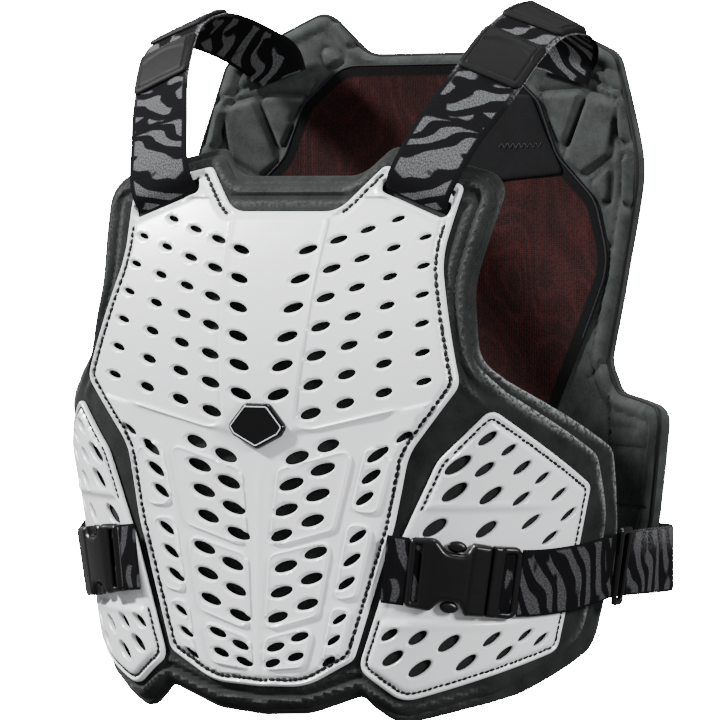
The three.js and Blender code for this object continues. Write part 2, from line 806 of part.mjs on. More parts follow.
function linerBand() {
  const corners = sized(patchCorners, backHalf, backRise, backDrop);
  const deep = 4 * gap + linerWall;
  return bent(slab(outline(corners), deep, deep + patchWall), backSurface, backLines);
}

// A strap's surface along a route of centres and width directions: along, across, deep
function strapSurface(route) {
  const centres = new THREE.CatmullRomCurve3(route.map((row) => row.centre), false, 'centripetal');
  const widths = new THREE.CatmullRomCurve3(route.map((row) => row.width));
  const length = centres.getLength();
  const surface = (along, across, deep) => {
    const t = centres.getUtoTmapping(THREE.MathUtils.clamp(along / length, 0, 1));
    const tangent = centres.getTangent(t);
    const width = widths.getPoint(t);
    width.addScaledVector(tangent, -width.dot(tangent)).normalize();
    const inward = new THREE.Vector3().crossVectors(tangent, width);
    if (route.flip) inward.negate();
    return centres.getPoint(t).addScaledVector(width, across).addScaledVector(inward, deep);
  };
  return { surface, length };
}

function shoulderStrap(side) {
  const route = shoulderRoute.map(({ across, back, up, fall }) => {
    const angle = THREE.MathUtils.degToRad(fall);
    return {
      centre: new THREE.Vector3(side * across * plateHalf, back * backDepth, up * shoulderUp),
      width: new THREE.Vector3(side * Math.cos(angle), 0, -Math.sin(angle)),
    };
  });
  route.flip = side < 0;
  return strapSurface(route);
}

// A flat run of webbing, in short lengths that can bend
function webbing(from, to, width, wall, fold) {
  const count = Math.round((to - from) / fold);
  return new THREE.BoxGeometry(to - from, width, wall, count).translate((from + to) / 2, 0, 0);
}

function roundedPad(length, width, radius, from, to) {
  const half = [length / 2, width / 2];
  const corners = [
    { x: -half[0], y: -half[1], round: radius },
    { x: half[0], y: -half[1], round: radius },
    { x: half[0], y: half[1], round: radius },
    { x: -half[0], y: half[1], round: radius },
  ];
  return slab(outline(corners), from, to);
}

// Tabs on a shoulder strap: place as a share of its length, and clearance where the strap twists
const tabPlaces = [
  { word: 'front', place: 0.44, clear: 0.4 },
  { word: 'top', place: 0.64, clear: 0.95 },
];

function addShoulder({ word, side }) {
  const { surface, length } = shoulderStrap(side);
  const folds = every('x', 0, length, strapFold);
  const strap = webbing(0, length, shoulderWidth, shoulderWall, strapFold);
  add(`shoulder_strap_${word}`, bent(strap, surface), elastic);
  for (const { word: where, place, clear } of tabPlaces) {
    const outer = -shoulderWall / 2 - clear;
    const pad = roundedPad(tabLength, shoulderWidth, tabRound, outer - tabWall, outer);
    const geometry = bent(pad.translate(place * length, 0, 0), surface, folds);
    add(`shoulder_tab_${where}_${word}`, geometry, rubber);
  }
}

// The waist strap's track: over the side plate, round the ribs and onto the outside of the back pad
function waistTrack(side) {
  const station = (surface, across, up, deep) => {
    const centre = surface(across, up, deep);
    const top = surface(across, up + waistWidth / 2, deep);
    return { centre, width: top.sub(centre) };
  };
  const rib = waistSide.map(({ reach, up }) =>
    station(sideSurface(side), reach * sideReach, up * sideDrop, -waistLift),
  );
  const outside = -backWall - waistWall - gap;
  const pad = waistBack.map(({ across, up }) =>
    station(backSurface, side * across * backHalf, up * backDrop, outside),
  );
  const route = [...rib, ...pad];
  route.flip = side > 0;
  return strapSurface(route);
}

const band = (from, to) => webbing(from, to, waistWidth, waistWall, waistFold);

// A flat outline that is the same above and below the strap's middle, from its lower corners
const doubled = (corners) => [
  ...corners,
  ...corners.map((row) => ({ ...row, y: -row.y })).reverse(),
];

const femaleEnd = loopLength + gap + femaleLength;
const maleEnd = femaleEnd + gap + maleLength;

function femaleBuckle() {
  const low = -buckleWidth / 2;
  const grip = gripDepth * buckleWidth;
  const gripFrom = femaleEnd - gripStart * femaleLength;
  const gripTo = femaleEnd - gripEnd * femaleLength;
  const corners = doubled([
    { x: loopLength + gap, y: low, round: buckleRound },
    { x: gripFrom, y: low, round: buckleRound },
    { x: gripFrom + grip, y: low + grip, round: buckleRound },
    { x: gripTo - grip, y: low + grip, round: buckleRound },
    { x: gripTo, y: low, round: buckleRound },
    { x: femaleEnd, y: low, round: buckleRound },
  ]);
  const half = buckleWall / 2;
  const body = slab(outline(corners), -half, half);
  const mouth = boxAt(
    femaleEnd - mouthDepth,
    femaleEnd + mouthDepth,
    -mouthWidth / 2,
    mouthWidth / 2,
    -mouthGap / 2,
    mouthGap / 2,
  );
  const bar = loopLength + gap + barWidth;
  const slit = boxAt(bar, bar + barWidth, -waistWidth / 2, waistWidth / 2, -buckleWall, buckleWall);
  return cut(body, [mouth, slit]);
}

function maleBuckle() {
  const low = -buckleWidth / 2;
  const start = femaleEnd + gap;
  const half = mouthGap / 2 - gap;
  const corners = doubled([
    { x: start, y: low, round: buckleRound },
    { x: maleEnd, y: low, round: buckleRound },
  ]);
  const frame = slab(outline(corners), -half, half);
  const opening = [start + 2 * barWidth, maleEnd - barWidth];
  const slit = boxAt(...opening, -waistWidth / 2, waistWidth / 2, -buckleWall, buckleWall);
  const prongs = [-1, 0, 1].map((row) => {
    const centre = row * (mouthWidth / 2 - prongWidth / 2 - 2 * gap);
    const [from, to] = [centre - prongWidth / 2, centre + prongWidth / 2];
    return boxAt(femaleEnd - mouthDepth + 4 * gap, start + barWidth, from, to, -half, half);
  });
  return cut(joined(frame, ...prongs), [slit]);
}

function addWaist({ word, side }) {
  const { surface, length } = waistTrack(side);
  const folds = every('x', 0, length, waistFold);
  add(`waist_strap_front_${word}`, bent(band(0, loopLength), surface), elastic);
  add(`buckle_female_${word}`, bent(femaleBuckle(), surface, folds), buckleBlack);
  add(`buckle_male_${word}`, bent(maleBuckle(), surface, folds), buckleBlack);
  add(`waist_strap_back_${word}`, bent(band(maleEnd + gap, length), surface), elastic);
  const outer = -waistWall / 2 - sliderClear;
  const frame = roundedPad(sliderLength, sliderWidth, buckleRound, outer - sliderWall, outer);
  const placed = frame.translate(sliderPlace * length, 0, 0);
  add(`slider_${word}`, bent(placed, surface, folds), buckleBlack);
}

add('front_shell', chestPlate(), white);
add('front_foam', foamFront(), foamBlack);
for (const { word, side } of sides) add(`flank_shell_${word}`, sidePlate(side), white);
add('badge', badge(), badgeBlack);
add('back_foam', backPad(), foamGrey);
add('back_liner', liner(), meshRed);
add('liner_band', linerBand(), bandBlack);
sides.forEach(addShoulder);
sides.forEach(addWaist);

export default vest;
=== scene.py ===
"""Roost deflector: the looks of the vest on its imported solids.

Vest coordinates are millimetres with the badge at the origin: x to the wearer's left, y towards the
back, z up. A flat point is (u, z): u runs along the plan curve, and deep is the way to the wearer.
"""

import math

import bmesh
import bpy
import numpy as np
from mathutils import Matrix, Vector
from mathutils.geometry import delaunay_2d_cdt


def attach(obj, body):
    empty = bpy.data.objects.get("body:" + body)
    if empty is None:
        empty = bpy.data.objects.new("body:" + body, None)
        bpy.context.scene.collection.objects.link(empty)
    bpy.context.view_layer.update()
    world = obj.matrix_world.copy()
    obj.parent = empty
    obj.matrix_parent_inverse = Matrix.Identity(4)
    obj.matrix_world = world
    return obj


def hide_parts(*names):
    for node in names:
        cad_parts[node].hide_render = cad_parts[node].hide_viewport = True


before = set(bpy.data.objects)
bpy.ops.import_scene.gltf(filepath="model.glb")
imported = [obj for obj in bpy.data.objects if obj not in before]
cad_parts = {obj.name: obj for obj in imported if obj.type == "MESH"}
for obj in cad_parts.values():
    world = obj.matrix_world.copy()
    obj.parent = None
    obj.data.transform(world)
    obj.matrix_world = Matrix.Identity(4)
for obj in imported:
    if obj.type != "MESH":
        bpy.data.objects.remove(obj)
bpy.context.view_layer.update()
rng = np.random.default_rng(5)

SHOULDERS = np.array([0.0, 160.0, 300.0])

# The camera as solved from the photograph: its right, up and back directions, and its place in metres
CAMERA_RIGHT, CAMERA_UP = (0.8660, 0.5, 0.0), (-0.01831, 0.03171, 0.99933)
CAMERA_BACK, CAMERA_PLACE = (0.49967, -0.86545, 0.03662), (1.59143, -2.76606, -0.13907)
LENS, SENSOR, CLIP_END = 206.5, 36, 30

camera_data = bpy.data.cameras.new("camera")
camera_data.lens = LENS
camera_data.sensor_width = SENSOR
camera_data.clip_end = CLIP_END
camera = bpy.data.objects.new("camera", camera_data)
bpy.context.collection.objects.link(camera)
camera.matrix_world = Matrix([*zip(CAMERA_RIGHT, CAMERA_UP, CAMERA_BACK, CAMERA_PLACE), (0, 0, 0, 1)])
bpy.context.scene.camera = camera

# Body form, in millimetres: the plan curves' radii, and each panel's half width, rise and drop
CHEST_R, CREASE_R, CREASE_TURN, RIB_R = 1190.0, 40.0, 0.26, 155.0
CREASE_LENGTH = CREASE_R * CREASE_TURN
CREASE_ACROSS, CREASE_SLOPE = 137.6, 0.235
CHEST_BACK = 2.5
LEAN_FROM, LEAN_SPREAD = 10, 666
TUCK_FROM, TUCK_SLOPE = -45, 0.022
PLATE_HALF, PLATE_RISE, PLATE_DROP = 160.0, 193.0, 193.0
SIDE_REACH, SIDE_DROP = 143.0, 200.0
BACK_HALF, BACK_RISE, BACK_DROP = 200.0, 316.0, 212.0
BACK_AWAY, BACK_FLAT, BACK_FLAT_R, BACK_WRAP_R = 249.5, 150.0, 1351.0, 130.0


def crease(z):
    """Where the front turns to the ribs."""
    return CREASE_ACROSS + CREASE_SLOPE * z


def lean(z):
    """How far the front leans back: in a curve towards the neck, and evenly below the ribs."""
    tuck = np.where(z < TUCK_FROM, TUCK_SLOPE * (z - TUCK_FROM), 0.0)
    return np.where(z > LEAN_FROM, (z - LEAN_FROM) ** 2 / LEAN_SPREAD, tuck)


def walked(length, stretches):
    """Where a walk along arcs of given lengths and radii ends, and its heading there."""
    x, y, heading = (np.zeros_like(length) for _ in range(3))
    left = length.copy()
    for stretch, radius in stretches:
        step = np.clip(left, 0, stretch)
        turned = heading + step / radius
        x = x + radius * (np.sin(turned) - np.sin(heading))
        y = y + radius * (np.cos(heading) - np.cos(turned))
        heading, left = turned, left - step
    return x, y, heading


def on_plan(u, z, deep, stretches):
    """The point of the front's surface at a flat point, a depth behind its face."""
    u, z, deep = np.broadcast_arrays(*(np.asarray(v, float) for v in (u, z, deep)))
    x, y, heading = walked(np.abs(u), stretches(z))
    side = np.where(u < 0, -1.0, 1.0)
    away = CHEST_BACK + lean(z) + y + deep * np.cos(heading)
    return np.stack([side * (x - deep * np.sin(heading)), away, z], -1)


def chest(u, z, deep):
    return on_plan(u, z, deep, lambda h: [(np.inf, CHEST_R)])


def front(u, z, deep):
    turned = [(CREASE_LENGTH, CREASE_R), (np.inf, RIB_R)]
    return on_plan(u, z, deep, lambda h: [(crease(h) - CREASE_LENGTH / 2, CHEST_R), *turned])


def flank(u, z, deep):
    return front(crease(np.asarray(z, float)) + u, z, deep)


def rear(u, z, deep):
    u, z, deep = np.broadcast_arrays(*(np.asarray(v, float) for v in (u, z, deep)))
    x, y, heading = walked(np.abs(u), [(BACK_FLAT, BACK_FLAT_R), (np.inf, BACK_WRAP_R)])
    side = np.where(u < 0, -1.0, 1.0)
    return np.stack([side * (x - deep * np.sin(heading)), BACK_AWAY - y - deep * np.cos(heading), z], -1)


# Outlines and distances


def ring(corners, steps=8):
    """A closed outline through (x, y, round) corners, each rounded by a short curve."""
    points = []
    count = len(corners)
    for i, (x, y, round_) in enumerate(corners):
        at = np.array([x, y], float)
        if round_ == 0:
            points.append(at)
            continue
        before = np.array(corners[i - 1][:2], float) - at
        after = np.array(corners[(i + 1) % count][:2], float) - at
        a, b = np.linalg.norm(before), np.linalg.norm(after)
        turn = math.pi - math.acos(np.clip(before @ after / (a * b), -1, 1))
        tangent = min(round_ * math.tan(turn / 2), 0.48 * min(a, b))
        start, end = at + before / a * tangent, at + after / b * tangent
        for k in range(steps + 1):
            t = k / steps
            points.append((1 - t) ** 2 * start + 2 * t * (1 - t) * at + t * t * end)
    return anticlockwise(np.array(points))


def sized(rows, half, rise, drop):
    """Corners in millimetres from shares: across, up or down, and round."""
    return [(a * half, b * (rise if b > 0 else drop), r * half) for a, b, r in rows]


def mirrored(half):
    """Both sides of an outline given for the left one, with its two ends on the middle line."""
    inner = [row for row in half if row[0] > 0]
    ends = [row for row in half if row[0] == 0]
    return [ends[0], *inner, ends[-1], *[(-x, y, r) for x, y, r in reversed(inner)]]


def lengths_along(points):
    return np.r_[0, np.cumsum(np.linalg.norm(np.diff(points, axis=0), axis=1))]


def resampled(loop, spacing):
    closed = np.vstack([loop, loop[:1]])
    along = lengths_along(closed)
    count = max(8, round(along[-1] / spacing))
    at = np.arange(count) / count * along[-1]
    return np.stack([np.interp(at, along, closed[:, k]) for k in (0, 1)], -1)


def double_area(loop):
    """Twice an outline's area, positive if it runs anticlockwise."""
    x, y = loop.T
    return (x * np.roll(y, -1) - y * np.roll(x, -1)).sum()


def anticlockwise(loop):
    return loop if double_area(loop) > 0 else loop[::-1]


def normals_in(loop):
    tangent = np.roll(loop, -1, 0) - np.roll(loop, 1, 0)
    tangent /= np.linalg.norm(tangent, axis=1)[:, None]
    return np.stack([-tangent[:, 1], tangent[:, 0]], -1)


def inside_by(points, loop):
    """Distance to an outline, positive inside it."""
    x, y = points.T
    best = np.full(len(points), np.inf)
    inside = np.zeros(len(points), bool)
    for (ax, ay), (bx, by) in zip(loop, np.roll(loop, -1, 0)):
        dx, dy = bx - ax, by - ay
        t = np.clip(((x - ax) * dx + (y - ay) * dy) / (dx * dx + dy * dy + 1e-12), 0, 1)
        best = np.minimum(best, (x - ax - t * dx) ** 2 + (y - ay - t * dy) ** 2)
        if ay != by:
            crosses = ((ay > y) != (by > y)) & (x < ax + (y - ay) / (by - ay) * dx)
            inside ^= crosses
    return np.where(inside, 1, -1) * np.sqrt(best)


def step(x, a, b):
    """A smooth rise from 0 at a to 1 at b."""
    t = np.clip((x - a) / (b - a), 0, 1)
    return t * t * (3 - 2 * t)


def bump(x, centre, width):
    """A smooth ridge of height 1."""
    return np.exp(-(((x - centre) / width) ** 2))


def fall(distance, width):
    """A rounded fall from 0 at a width inside an edge to 1 at the edge."""
    return (1 - np.clip(distance / width, 0, 1)) ** 2


def beyond_ellipse(points, hole):
    """Distance outside a vent's edge."""
    cx, cy, a, b, turn = hole
    x, y = points[:, 0] - cx, points[:, 1] - cy
    p, q = x * math.cos(turn) + y * math.sin(turn), y * math.cos(turn) - x * math.sin(turn)
    rho = np.sqrt((p / a) ** 2 + (q / b) ** 2) + 1e-9
    return np.hypot(p, q) * (1 - 1 / rho)


def ellipse(hole, grow, count):
    """A ring of points round a vent, grown by a margin."""
    cx, cy, a, b, turn = hole
    t = np.arange(count) / count * 2 * math.pi
    p, q = (a + grow) * np.cos(t), (b + grow) * np.sin(t)
    c, s = math.cos(turn), math.sin(turn)
    return np.stack([cx + p * c - q * s, cy + p * s + q * c], -1)


# Meshes


def link(mesh, material, replaces):
    """A piece of the vest: the solids that it replaces."""
    obj = bpy.data.objects.new(mesh.name, mesh)
    bpy.context.collection.objects.link(obj)
    mesh.materials.append(material)
    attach(obj, "root")
    if replaces:
        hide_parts(*replaces)
    return obj


def make_mesh(name, points, faces, uv, pale=None, sharp=35):
    """A smooth shaded mesh with flat coordinates, and how pale its cloth is at each point, painted sheen
    included.
    """
    mesh = bpy.data.meshes.new(name)
    mesh.from_pydata(((points - SHOULDERS) / 1000).tolist(), [], [list(map(int, f)) for f in faces])
    layer = mesh.uv_layers.new(name="flat")
    index = np.empty(len(mesh.loops), int)
    mesh.loops.foreach_get("vertex_index", index)
    layer.data.foreach_set("uv", (uv[index] / 1000).astype(np.float32).ravel())
    if pale is not None:
        mesh.attributes.new("pale", "FLOAT", "POINT").data.foreach_set("value", pale.astype(np.float32))
    tidy = bmesh.new()
    tidy.from_mesh(mesh)
    bmesh.ops.recalc_face_normals(tidy, faces=tidy.faces)
    tidy.to_mesh(mesh)
    tidy.free()
    mesh.shade_smooth()
    mesh.set_sharp_from_angle(angle=math.radians(sharp))
    return mesh


def skin(rings, sides, closed=False, base=0):
    """A tube's faces: ring by ring, then its two ends unless it is closed."""
    steps = [(i * sides, (i + 1) % rings * sides) for i in range(rings if closed else rings - 1)]
    turns = [(k, (k + 1) % sides) for k in range(sides)]
    faces = [(a + k, a + m, b + m, b + k) for a, b in steps for k, m in turns]
    if not closed:
        faces += [tuple(range(sides)), tuple((rings - 1) * sides + k for k in range(sides))]
    return [tuple(base + v for v in face) for face in faces]


# Margins of the rings of points: round a vent, round a slot and inside an outline
VENT_RINGS, SLOT_RINGS, EDGE_RINGS = (0, 0.45, 1.0, 1.7), (0, 0.5, 1.1, 1.9), (0, 0.5, 1.1, 2.0)


def shell(
    name, loop, surface, height, deep, spacing, holes=(), rings=EDGE_RINGS, pale=None, slots=(), creases=()
):
    """A closed panel: its outline and vents are ringed finely, and its face rises by a height."""
    loop = resampled(loop, spacing * 0.9)
    inward = normals_in(loop)
    points = [loop + inward * r for r in rings]
    edges = [(i, (i + 1) % len(loop)) for i in range(len(loop))]
    total = len(loop) * len(rings)
    for hole in holes:
        count = 24 if hole[2] > 6 else 20
        edges += [(total + i, total + (i + 1) % count) for i in range(count)]
        points += [ellipse(hole, grow, count) for grow in VENT_RINGS]
        total += len(VENT_RINGS) * count
    for slot in slots:
        slot = resampled(slot, 1.4)
        outward = -normals_in(slot)
        edges += [(total + i, total + (i + 1) % len(slot)) for i in range(len(slot))]
        points += [slot + outward * grow for grow in SLOT_RINGS]
        total += len(SLOT_RINGS) * len(slot)
    for crease_loop, offsets in creases:
        fine = resampled(crease_loop, 1.8)
        inner = normals_in(fine)
        lines = np.vstack([fine + inner * offset for offset in offsets])
        clear = inside_by(lines, loop) > rings[-1] + 0.7
        for hole in holes:
            clear &= beyond_ellipse(lines, hole) > 2.2
        for slot in slots:
            clear &= inside_by(lines, slot) < -2.6
        points.append(lines[clear])
    low, high = loop.min(0), loop.max(0)
    across = np.arange(low[0], high[0], spacing)
    rows = np.arange(low[1], high[1], spacing * 0.87)
    grid = np.stack(np.meshgrid(across, rows), -1)
    grid[1::2, :, 0] += spacing / 2
    grid = grid.reshape(-1, 2)
    keep = inside_by(grid, loop) > rings[-1] + spacing * 0.5
    for hole in holes:
        keep &= beyond_ellipse(grid, hole) > VENT_RINGS[-1] + spacing * 0.4
    for slot in slots:
        keep &= inside_by(grid, slot) < -SLOT_RINGS[-1] - spacing * 0.4
    for crease_loop, offsets in creases:
        d = inside_by(grid, crease_loop)
        keep &= (d < offsets[0] - 0.9) | (d > offsets[-1] + 0.9)
    points.append(grid[keep])
    points = np.vstack(points)
    result = delaunay_2d_cdt([Vector(p) for p in points], edges, [], 0, 1e-4)
    flat = np.array([tuple(p) for p in result[0]])
    faces = np.array(result[2])
    middles = flat[faces].mean(1)
    good = inside_by(middles, loop) > 0
    for hole in holes:
        good &= beyond_ellipse(middles, hole) > 0
    for slot in slots:
        good &= inside_by(middles, slot) < 0
    faces = faces[good]
    used, faces = np.unique(faces, return_inverse=True)
    faces = faces.reshape(-1, 3)
    flat = flat[used]
    u, z = flat.T
    top = surface(u, z, -height(flat))
    under = surface(u, z, deep(flat) if callable(deep) else deep)
    count = len(flat)
    seen = dict.fromkeys(e for a, b, c in faces for e in ((a, b), (b, c), (c, a)))
    border = [(a, b) for a, b in seen if (b, a) not in seen]
    all_faces = faces.tolist() + (faces[:, ::-1] + count).tolist()
    all_faces += [(b, a, a + count, b + count) for a, b in border]
    light = np.tile(pale(flat), 2) if pale else None
    return make_mesh(name, np.vstack([top, under]), all_faces, np.vstack([flat, flat]), light)


def flipped(mesh, name):
    """The mesh on the other side of the vest."""
    other = mesh.copy()
    other.name = name
    other.transform(Matrix.Scale(-1, 4, (1, 0, 0)))
    other.flip_normals()
    return other


def stitches(name, path, surface, deep, length, space, radius, wander, keep=None):
    """Thread lying on a surface along a closed flat path: short rounded stitches."""
    closed = np.vstack([path, path[:1]])
    along = lengths_along(closed)
    at = lambda s: np.array([np.interp(s, along, closed[:, k]) for k in (0, 1)])
    points, faces, uv = [], [], []
    sides, cuts = 7, 6
    s = 0.0
    while s + length < along[-1]:
        long = length * (1 + 0.12 * rng.normal())
        a = at(s) + rng.normal(0, wander, 2)
        b = at(s + long) + rng.normal(0, wander, 2)
        s += long + space
        middle = (a + b) / 2
        if keep is not None and not keep(middle):
            continue
        tangent = (b - a) / np.linalg.norm(b - a)
        normal = np.array([-tangent[1], tangent[0]])
        base = len(points)
        for i in range(cuts + 1):
            t = i / cuts
            thick = radius * max(0.12, 1 - abs(2 * t - 1) ** 3.0)
            p = a + (b - a) * t
            for k in range(sides):
                angle = 2 * math.pi * k / sides
                q = p + normal * thick * 1.25 * math.cos(angle)
                points.append((*q, deep - thick * 0.9 * math.sin(angle)))
        faces += skin(cuts + 1, sides, base=base)
    points = np.array(points)
    return make_mesh(name, surface(*points.T), faces, points[:, :2], None, 60)


# Materials


class Paint:
    """A node material: its shader, and short ways to add nodes."""

    def __init__(self, name, color, roughness, **fixed):
        self.material = bpy.data.materials.new(name)
        self.material.use_nodes = True
        self.tree = self.material.node_tree
        self.shader = self.tree.nodes["Principled BSDF"]
        self.shader.inputs["Base Color"].default_value = (*color, 1)
        self.shader.inputs["Roughness"].default_value = roughness
        for key, value in fixed.items():
            self.shader.inputs[key.replace("_", " ")].default_value = value
        self.flat = self.add("ShaderNodeUVMap", uv_map="flat").outputs["UV"]
        self.solid = self.add("ShaderNodeTexCoord").outputs["Object"]

    def add(self, kind, **props):
        node = self.tree.nodes.new(kind)
        for key, value in props.items():
            setattr(node, key, value)
        return node

    def join(self, value, socket):
        if hasattr(value, "is_output"):
            self.tree.links.new(value, socket)
        else:
            socket.default_value = value

    def math(self, operation, *values):
        node = self.add("ShaderNodeMath", operation=operation)
        for value, socket in zip(values, node.inputs):
            self.join(value, socket)
        return node.outputs[0]

    def noise(self, where, scale, detail=3.0, rough=0.5):
        node = self.add("ShaderNodeTexNoise")
        self.join(where, node.inputs["Vector"])
        node.inputs["Scale"].default_value = scale
        node.inputs["Detail"].default_value = detail
        node.inputs["Roughness"].default_value = rough
        return node.outputs["Fac"]

    def cells(self, where, scale):
        node = self.add("ShaderNodeTexVoronoi")
        self.join(where, node.inputs["Vector"])
        node.inputs["Scale"].default_value = scale
        return node.outputs["Distance"]

    def moved(self, where, scale=(1, 1, 1), turn=0.0, shift=(0, 0, 0)):
        node = self.add("ShaderNodeMapping")
        self.join(where, node.inputs["Vector"])
        node.inputs["Scale"].default_value = scale
        node.inputs["Rotation"].default_value = (0, 0, turn)
        node.inputs["Location"].default_value = shift
        return node.outputs[0]

    def ramp(self, value, *stops):
        node = self.add("ShaderNodeValToRGB")
        self.join(value, node.inputs[0])
        for element, (at, grey) in zip(node.color_ramp.elements, stops):
            element.position = at
            element.color = (grey, grey, grey, 1)
        return node.outputs["Color"]

    def mix(self, share, one, two):
        node = self.add("ShaderNodeMix", data_type="RGBA")
        self.join(share, node.inputs[0])
        for value, socket in ((one, node.inputs[6]), (two, node.inputs[7])):
            self.join((*value, 1) if isinstance(value, tuple) else value, socket)
        return node.outputs[2]

    def between(self, value, low, high):
        node = self.add("ShaderNodeMapRange")
        self.join(value, node.inputs["Value"])
        node.inputs["To Min"].default_value = low
        node.inputs["To Max"].default_value = high
        return node.outputs[0]

    def attribute(self, name):
        return self.add("ShaderNodeAttribute", attribute_name=name).outputs["Fac"]

    def color(self, value):
        self.join(value, self.shader.inputs["Base Color"])

    def rough(self, value):
        self.join(value, self.shader.inputs["Roughness"])

    def bumps(self, *layers):
        normal = None
        for height, strength, distance in layers:
            node = self.add("ShaderNodeBump")
            node.inputs["Strength"].default_value = strength
            node.inputs["Distance"].default_value = distance
            self.join(height, node.inputs["Height"])
            if normal:
                self.join(normal, node.inputs["Normal"])
            normal = node.outputs[0]
        self.join(normal, self.shader.inputs["Normal"])


def moulded(name, color, roughness, grain, coat=0.0, shine=0.5):
    """Moulded plastic: fine grain, slow waviness and slightly uneven gloss."""
    paint = Paint(name, color, roughness, Coat_Weight=coat, Coat_Roughness=0.2, Specular_IOR_Level=shine)
    slow = paint.noise(paint.solid, 14, 2)
    fine = paint.noise(paint.solid, 1600, 2)
    scuff = paint.noise(paint.moved(paint.solid, (1, 1, 6)), 70, 6, 0.65)
    light = tuple(min(1, c * 1.04) for c in color)
    dark = tuple(c * 0.95 for c in color)
    paint.color(paint.mix(slow, dark, light))
    paint.rough(paint.between(scuff, roughness - 0.07, roughness + 0.1))
    paint.bumps((slow, 0.05, 0.004), (fine, grain, 0.0002))
    return paint.material


def foam_cloth(name, color, pale_color):
    """Fabric-faced foam: fine knit, soft mottling, and a fuzzy pale colour where it is marked, which is the
    cut edge's own fuzz at the ribs and a painted sheen on the rolled edges.
    """
    paint = Paint(name, color, 0.84, Sheen_Weight=0.05, Sheen_Roughness=0.4, Specular_IOR_Level=0.14)
    paint.shader.inputs["Sheen Tint"].default_value = (0.78, 0.84, 0.82, 1)
    mottle = paint.noise(paint.solid, 60, 5, 0.6)
    speck = paint.noise(paint.solid, 900, 2, 0.5)
    knit = paint.cells(paint.solid, 1500)
    fuzz = paint.noise(paint.solid, 420, 6, 0.75)
    light = tuple(c * 1.75 for c in color)
    dark = tuple(c * 0.6 for c in color)
    body = paint.mix(paint.ramp(mottle, (0.3, 0.0), (0.7, 1.0)), dark, light)
    body = paint.mix(paint.ramp(speck, (0.42, 0.0), (0.72, 0.55)), body, light)
    # The pale colour goes where the mesh is marked: the cut edges' own fuzz, and a painted sheen along the
    # rolled edges.
    marked = paint.math("MULTIPLY", paint.attribute("pale"), 1.7)
    edge = paint.math("MULTIPLY", marked, paint.ramp(fuzz, (0.4, 0.0), (0.62, 1.0)))
    paint.color(paint.mix(edge, body, pale_color))
    paint.bumps((mottle, 0.1, 0.002), (knit, 0.3, 0.0004), (fuzz, 0.2, 0.0004))
    return paint.material


RIB_PITCH, CORD_PITCH, WALE_PITCH, COURSE_PITCH = 0.0013, 0.0017, 0.0023, 0.0016


def webbing_cloth(name, strokes, shift, turn, pale_color):
    """Black elastic with woven ribs, and pale heathered strokes knitted into it."""
    paint = Paint(name, (0.008, 0.008, 0.009), 0.92, Specular_IOR_Level=0.04)
    split = paint.add("ShaderNodeSeparateXYZ")
    paint.join(paint.flat, split.inputs[0])
    ribs = paint.math("SINE", paint.math("MULTIPLY", split.outputs["X"], 2 * math.pi / RIB_PITCH))
    cords = paint.math("SINE", paint.math("MULTIPLY", split.outputs["Y"], 2 * math.pi / CORD_PITCH))
    weave = paint.math("MULTIPLY", ribs, cords)
    base = paint.moved(paint.flat, (1, 0.55, 1), turn, shift)
    wave = paint.add("ShaderNodeTexWave", wave_type="BANDS", bands_direction="X")
    paint.join(base, wave.inputs["Vector"])
    for key, value in (("Scale", strokes), ("Distortion", 7.5), ("Detail", 0.6), ("Detail Scale", 1.5)):
        wave.inputs[key].default_value = value
    gaps = paint.ramp(paint.noise(paint.moved(base, turn=1.2), 62, 1.0), (0.4, 0.0), (0.44, 1.0))
    fibres = paint.math("MULTIPLY", paint.noise(paint.flat, 1100, 3), 0.34)
    frayed = paint.math("ADD", wave.outputs["Fac"], fibres)
    shape = paint.math("MULTIPLY", paint.ramp(frayed, (0.66, 0.0), (0.71, 1.0)), gaps)
    edge = paint.math("ABSOLUTE", split.outputs["Y"])
    inner = paint.ramp(paint.math("MULTIPLY", edge, 20.0), (0.455, 1.0), (0.475, 0.0))
    heather = paint.noise(paint.moved(paint.flat, (0.45, 1, 1)), 1500, 2, 0.5)
    dim_color = tuple(c * 0.25 for c in pale_color)
    light = paint.mix(paint.ramp(heather, (0.38, 0.0), (0.62, 1.0)), dim_color, pale_color)
    shown = paint.math("MULTIPLY", shape, inner)
    black = paint.mix(heather, (0.0025, 0.0025, 0.003), (0.008, 0.008, 0.009))
    body = paint.mix(shown, black, light)
    fray = paint.ramp(paint.noise(paint.solid, 800, 4, 0.7), (0.45, 0.0), (0.6, 1.0))
    paint.color(paint.mix(paint.math("MULTIPLY", paint.attribute("pale"), fray), body, (0.26, 0.26, 0.27)))
    paint.bumps((weave, 0.28, 0.0004), (shown, 0.25, 0.0004), (heather, 0.25, 0.0003))
    return paint.material


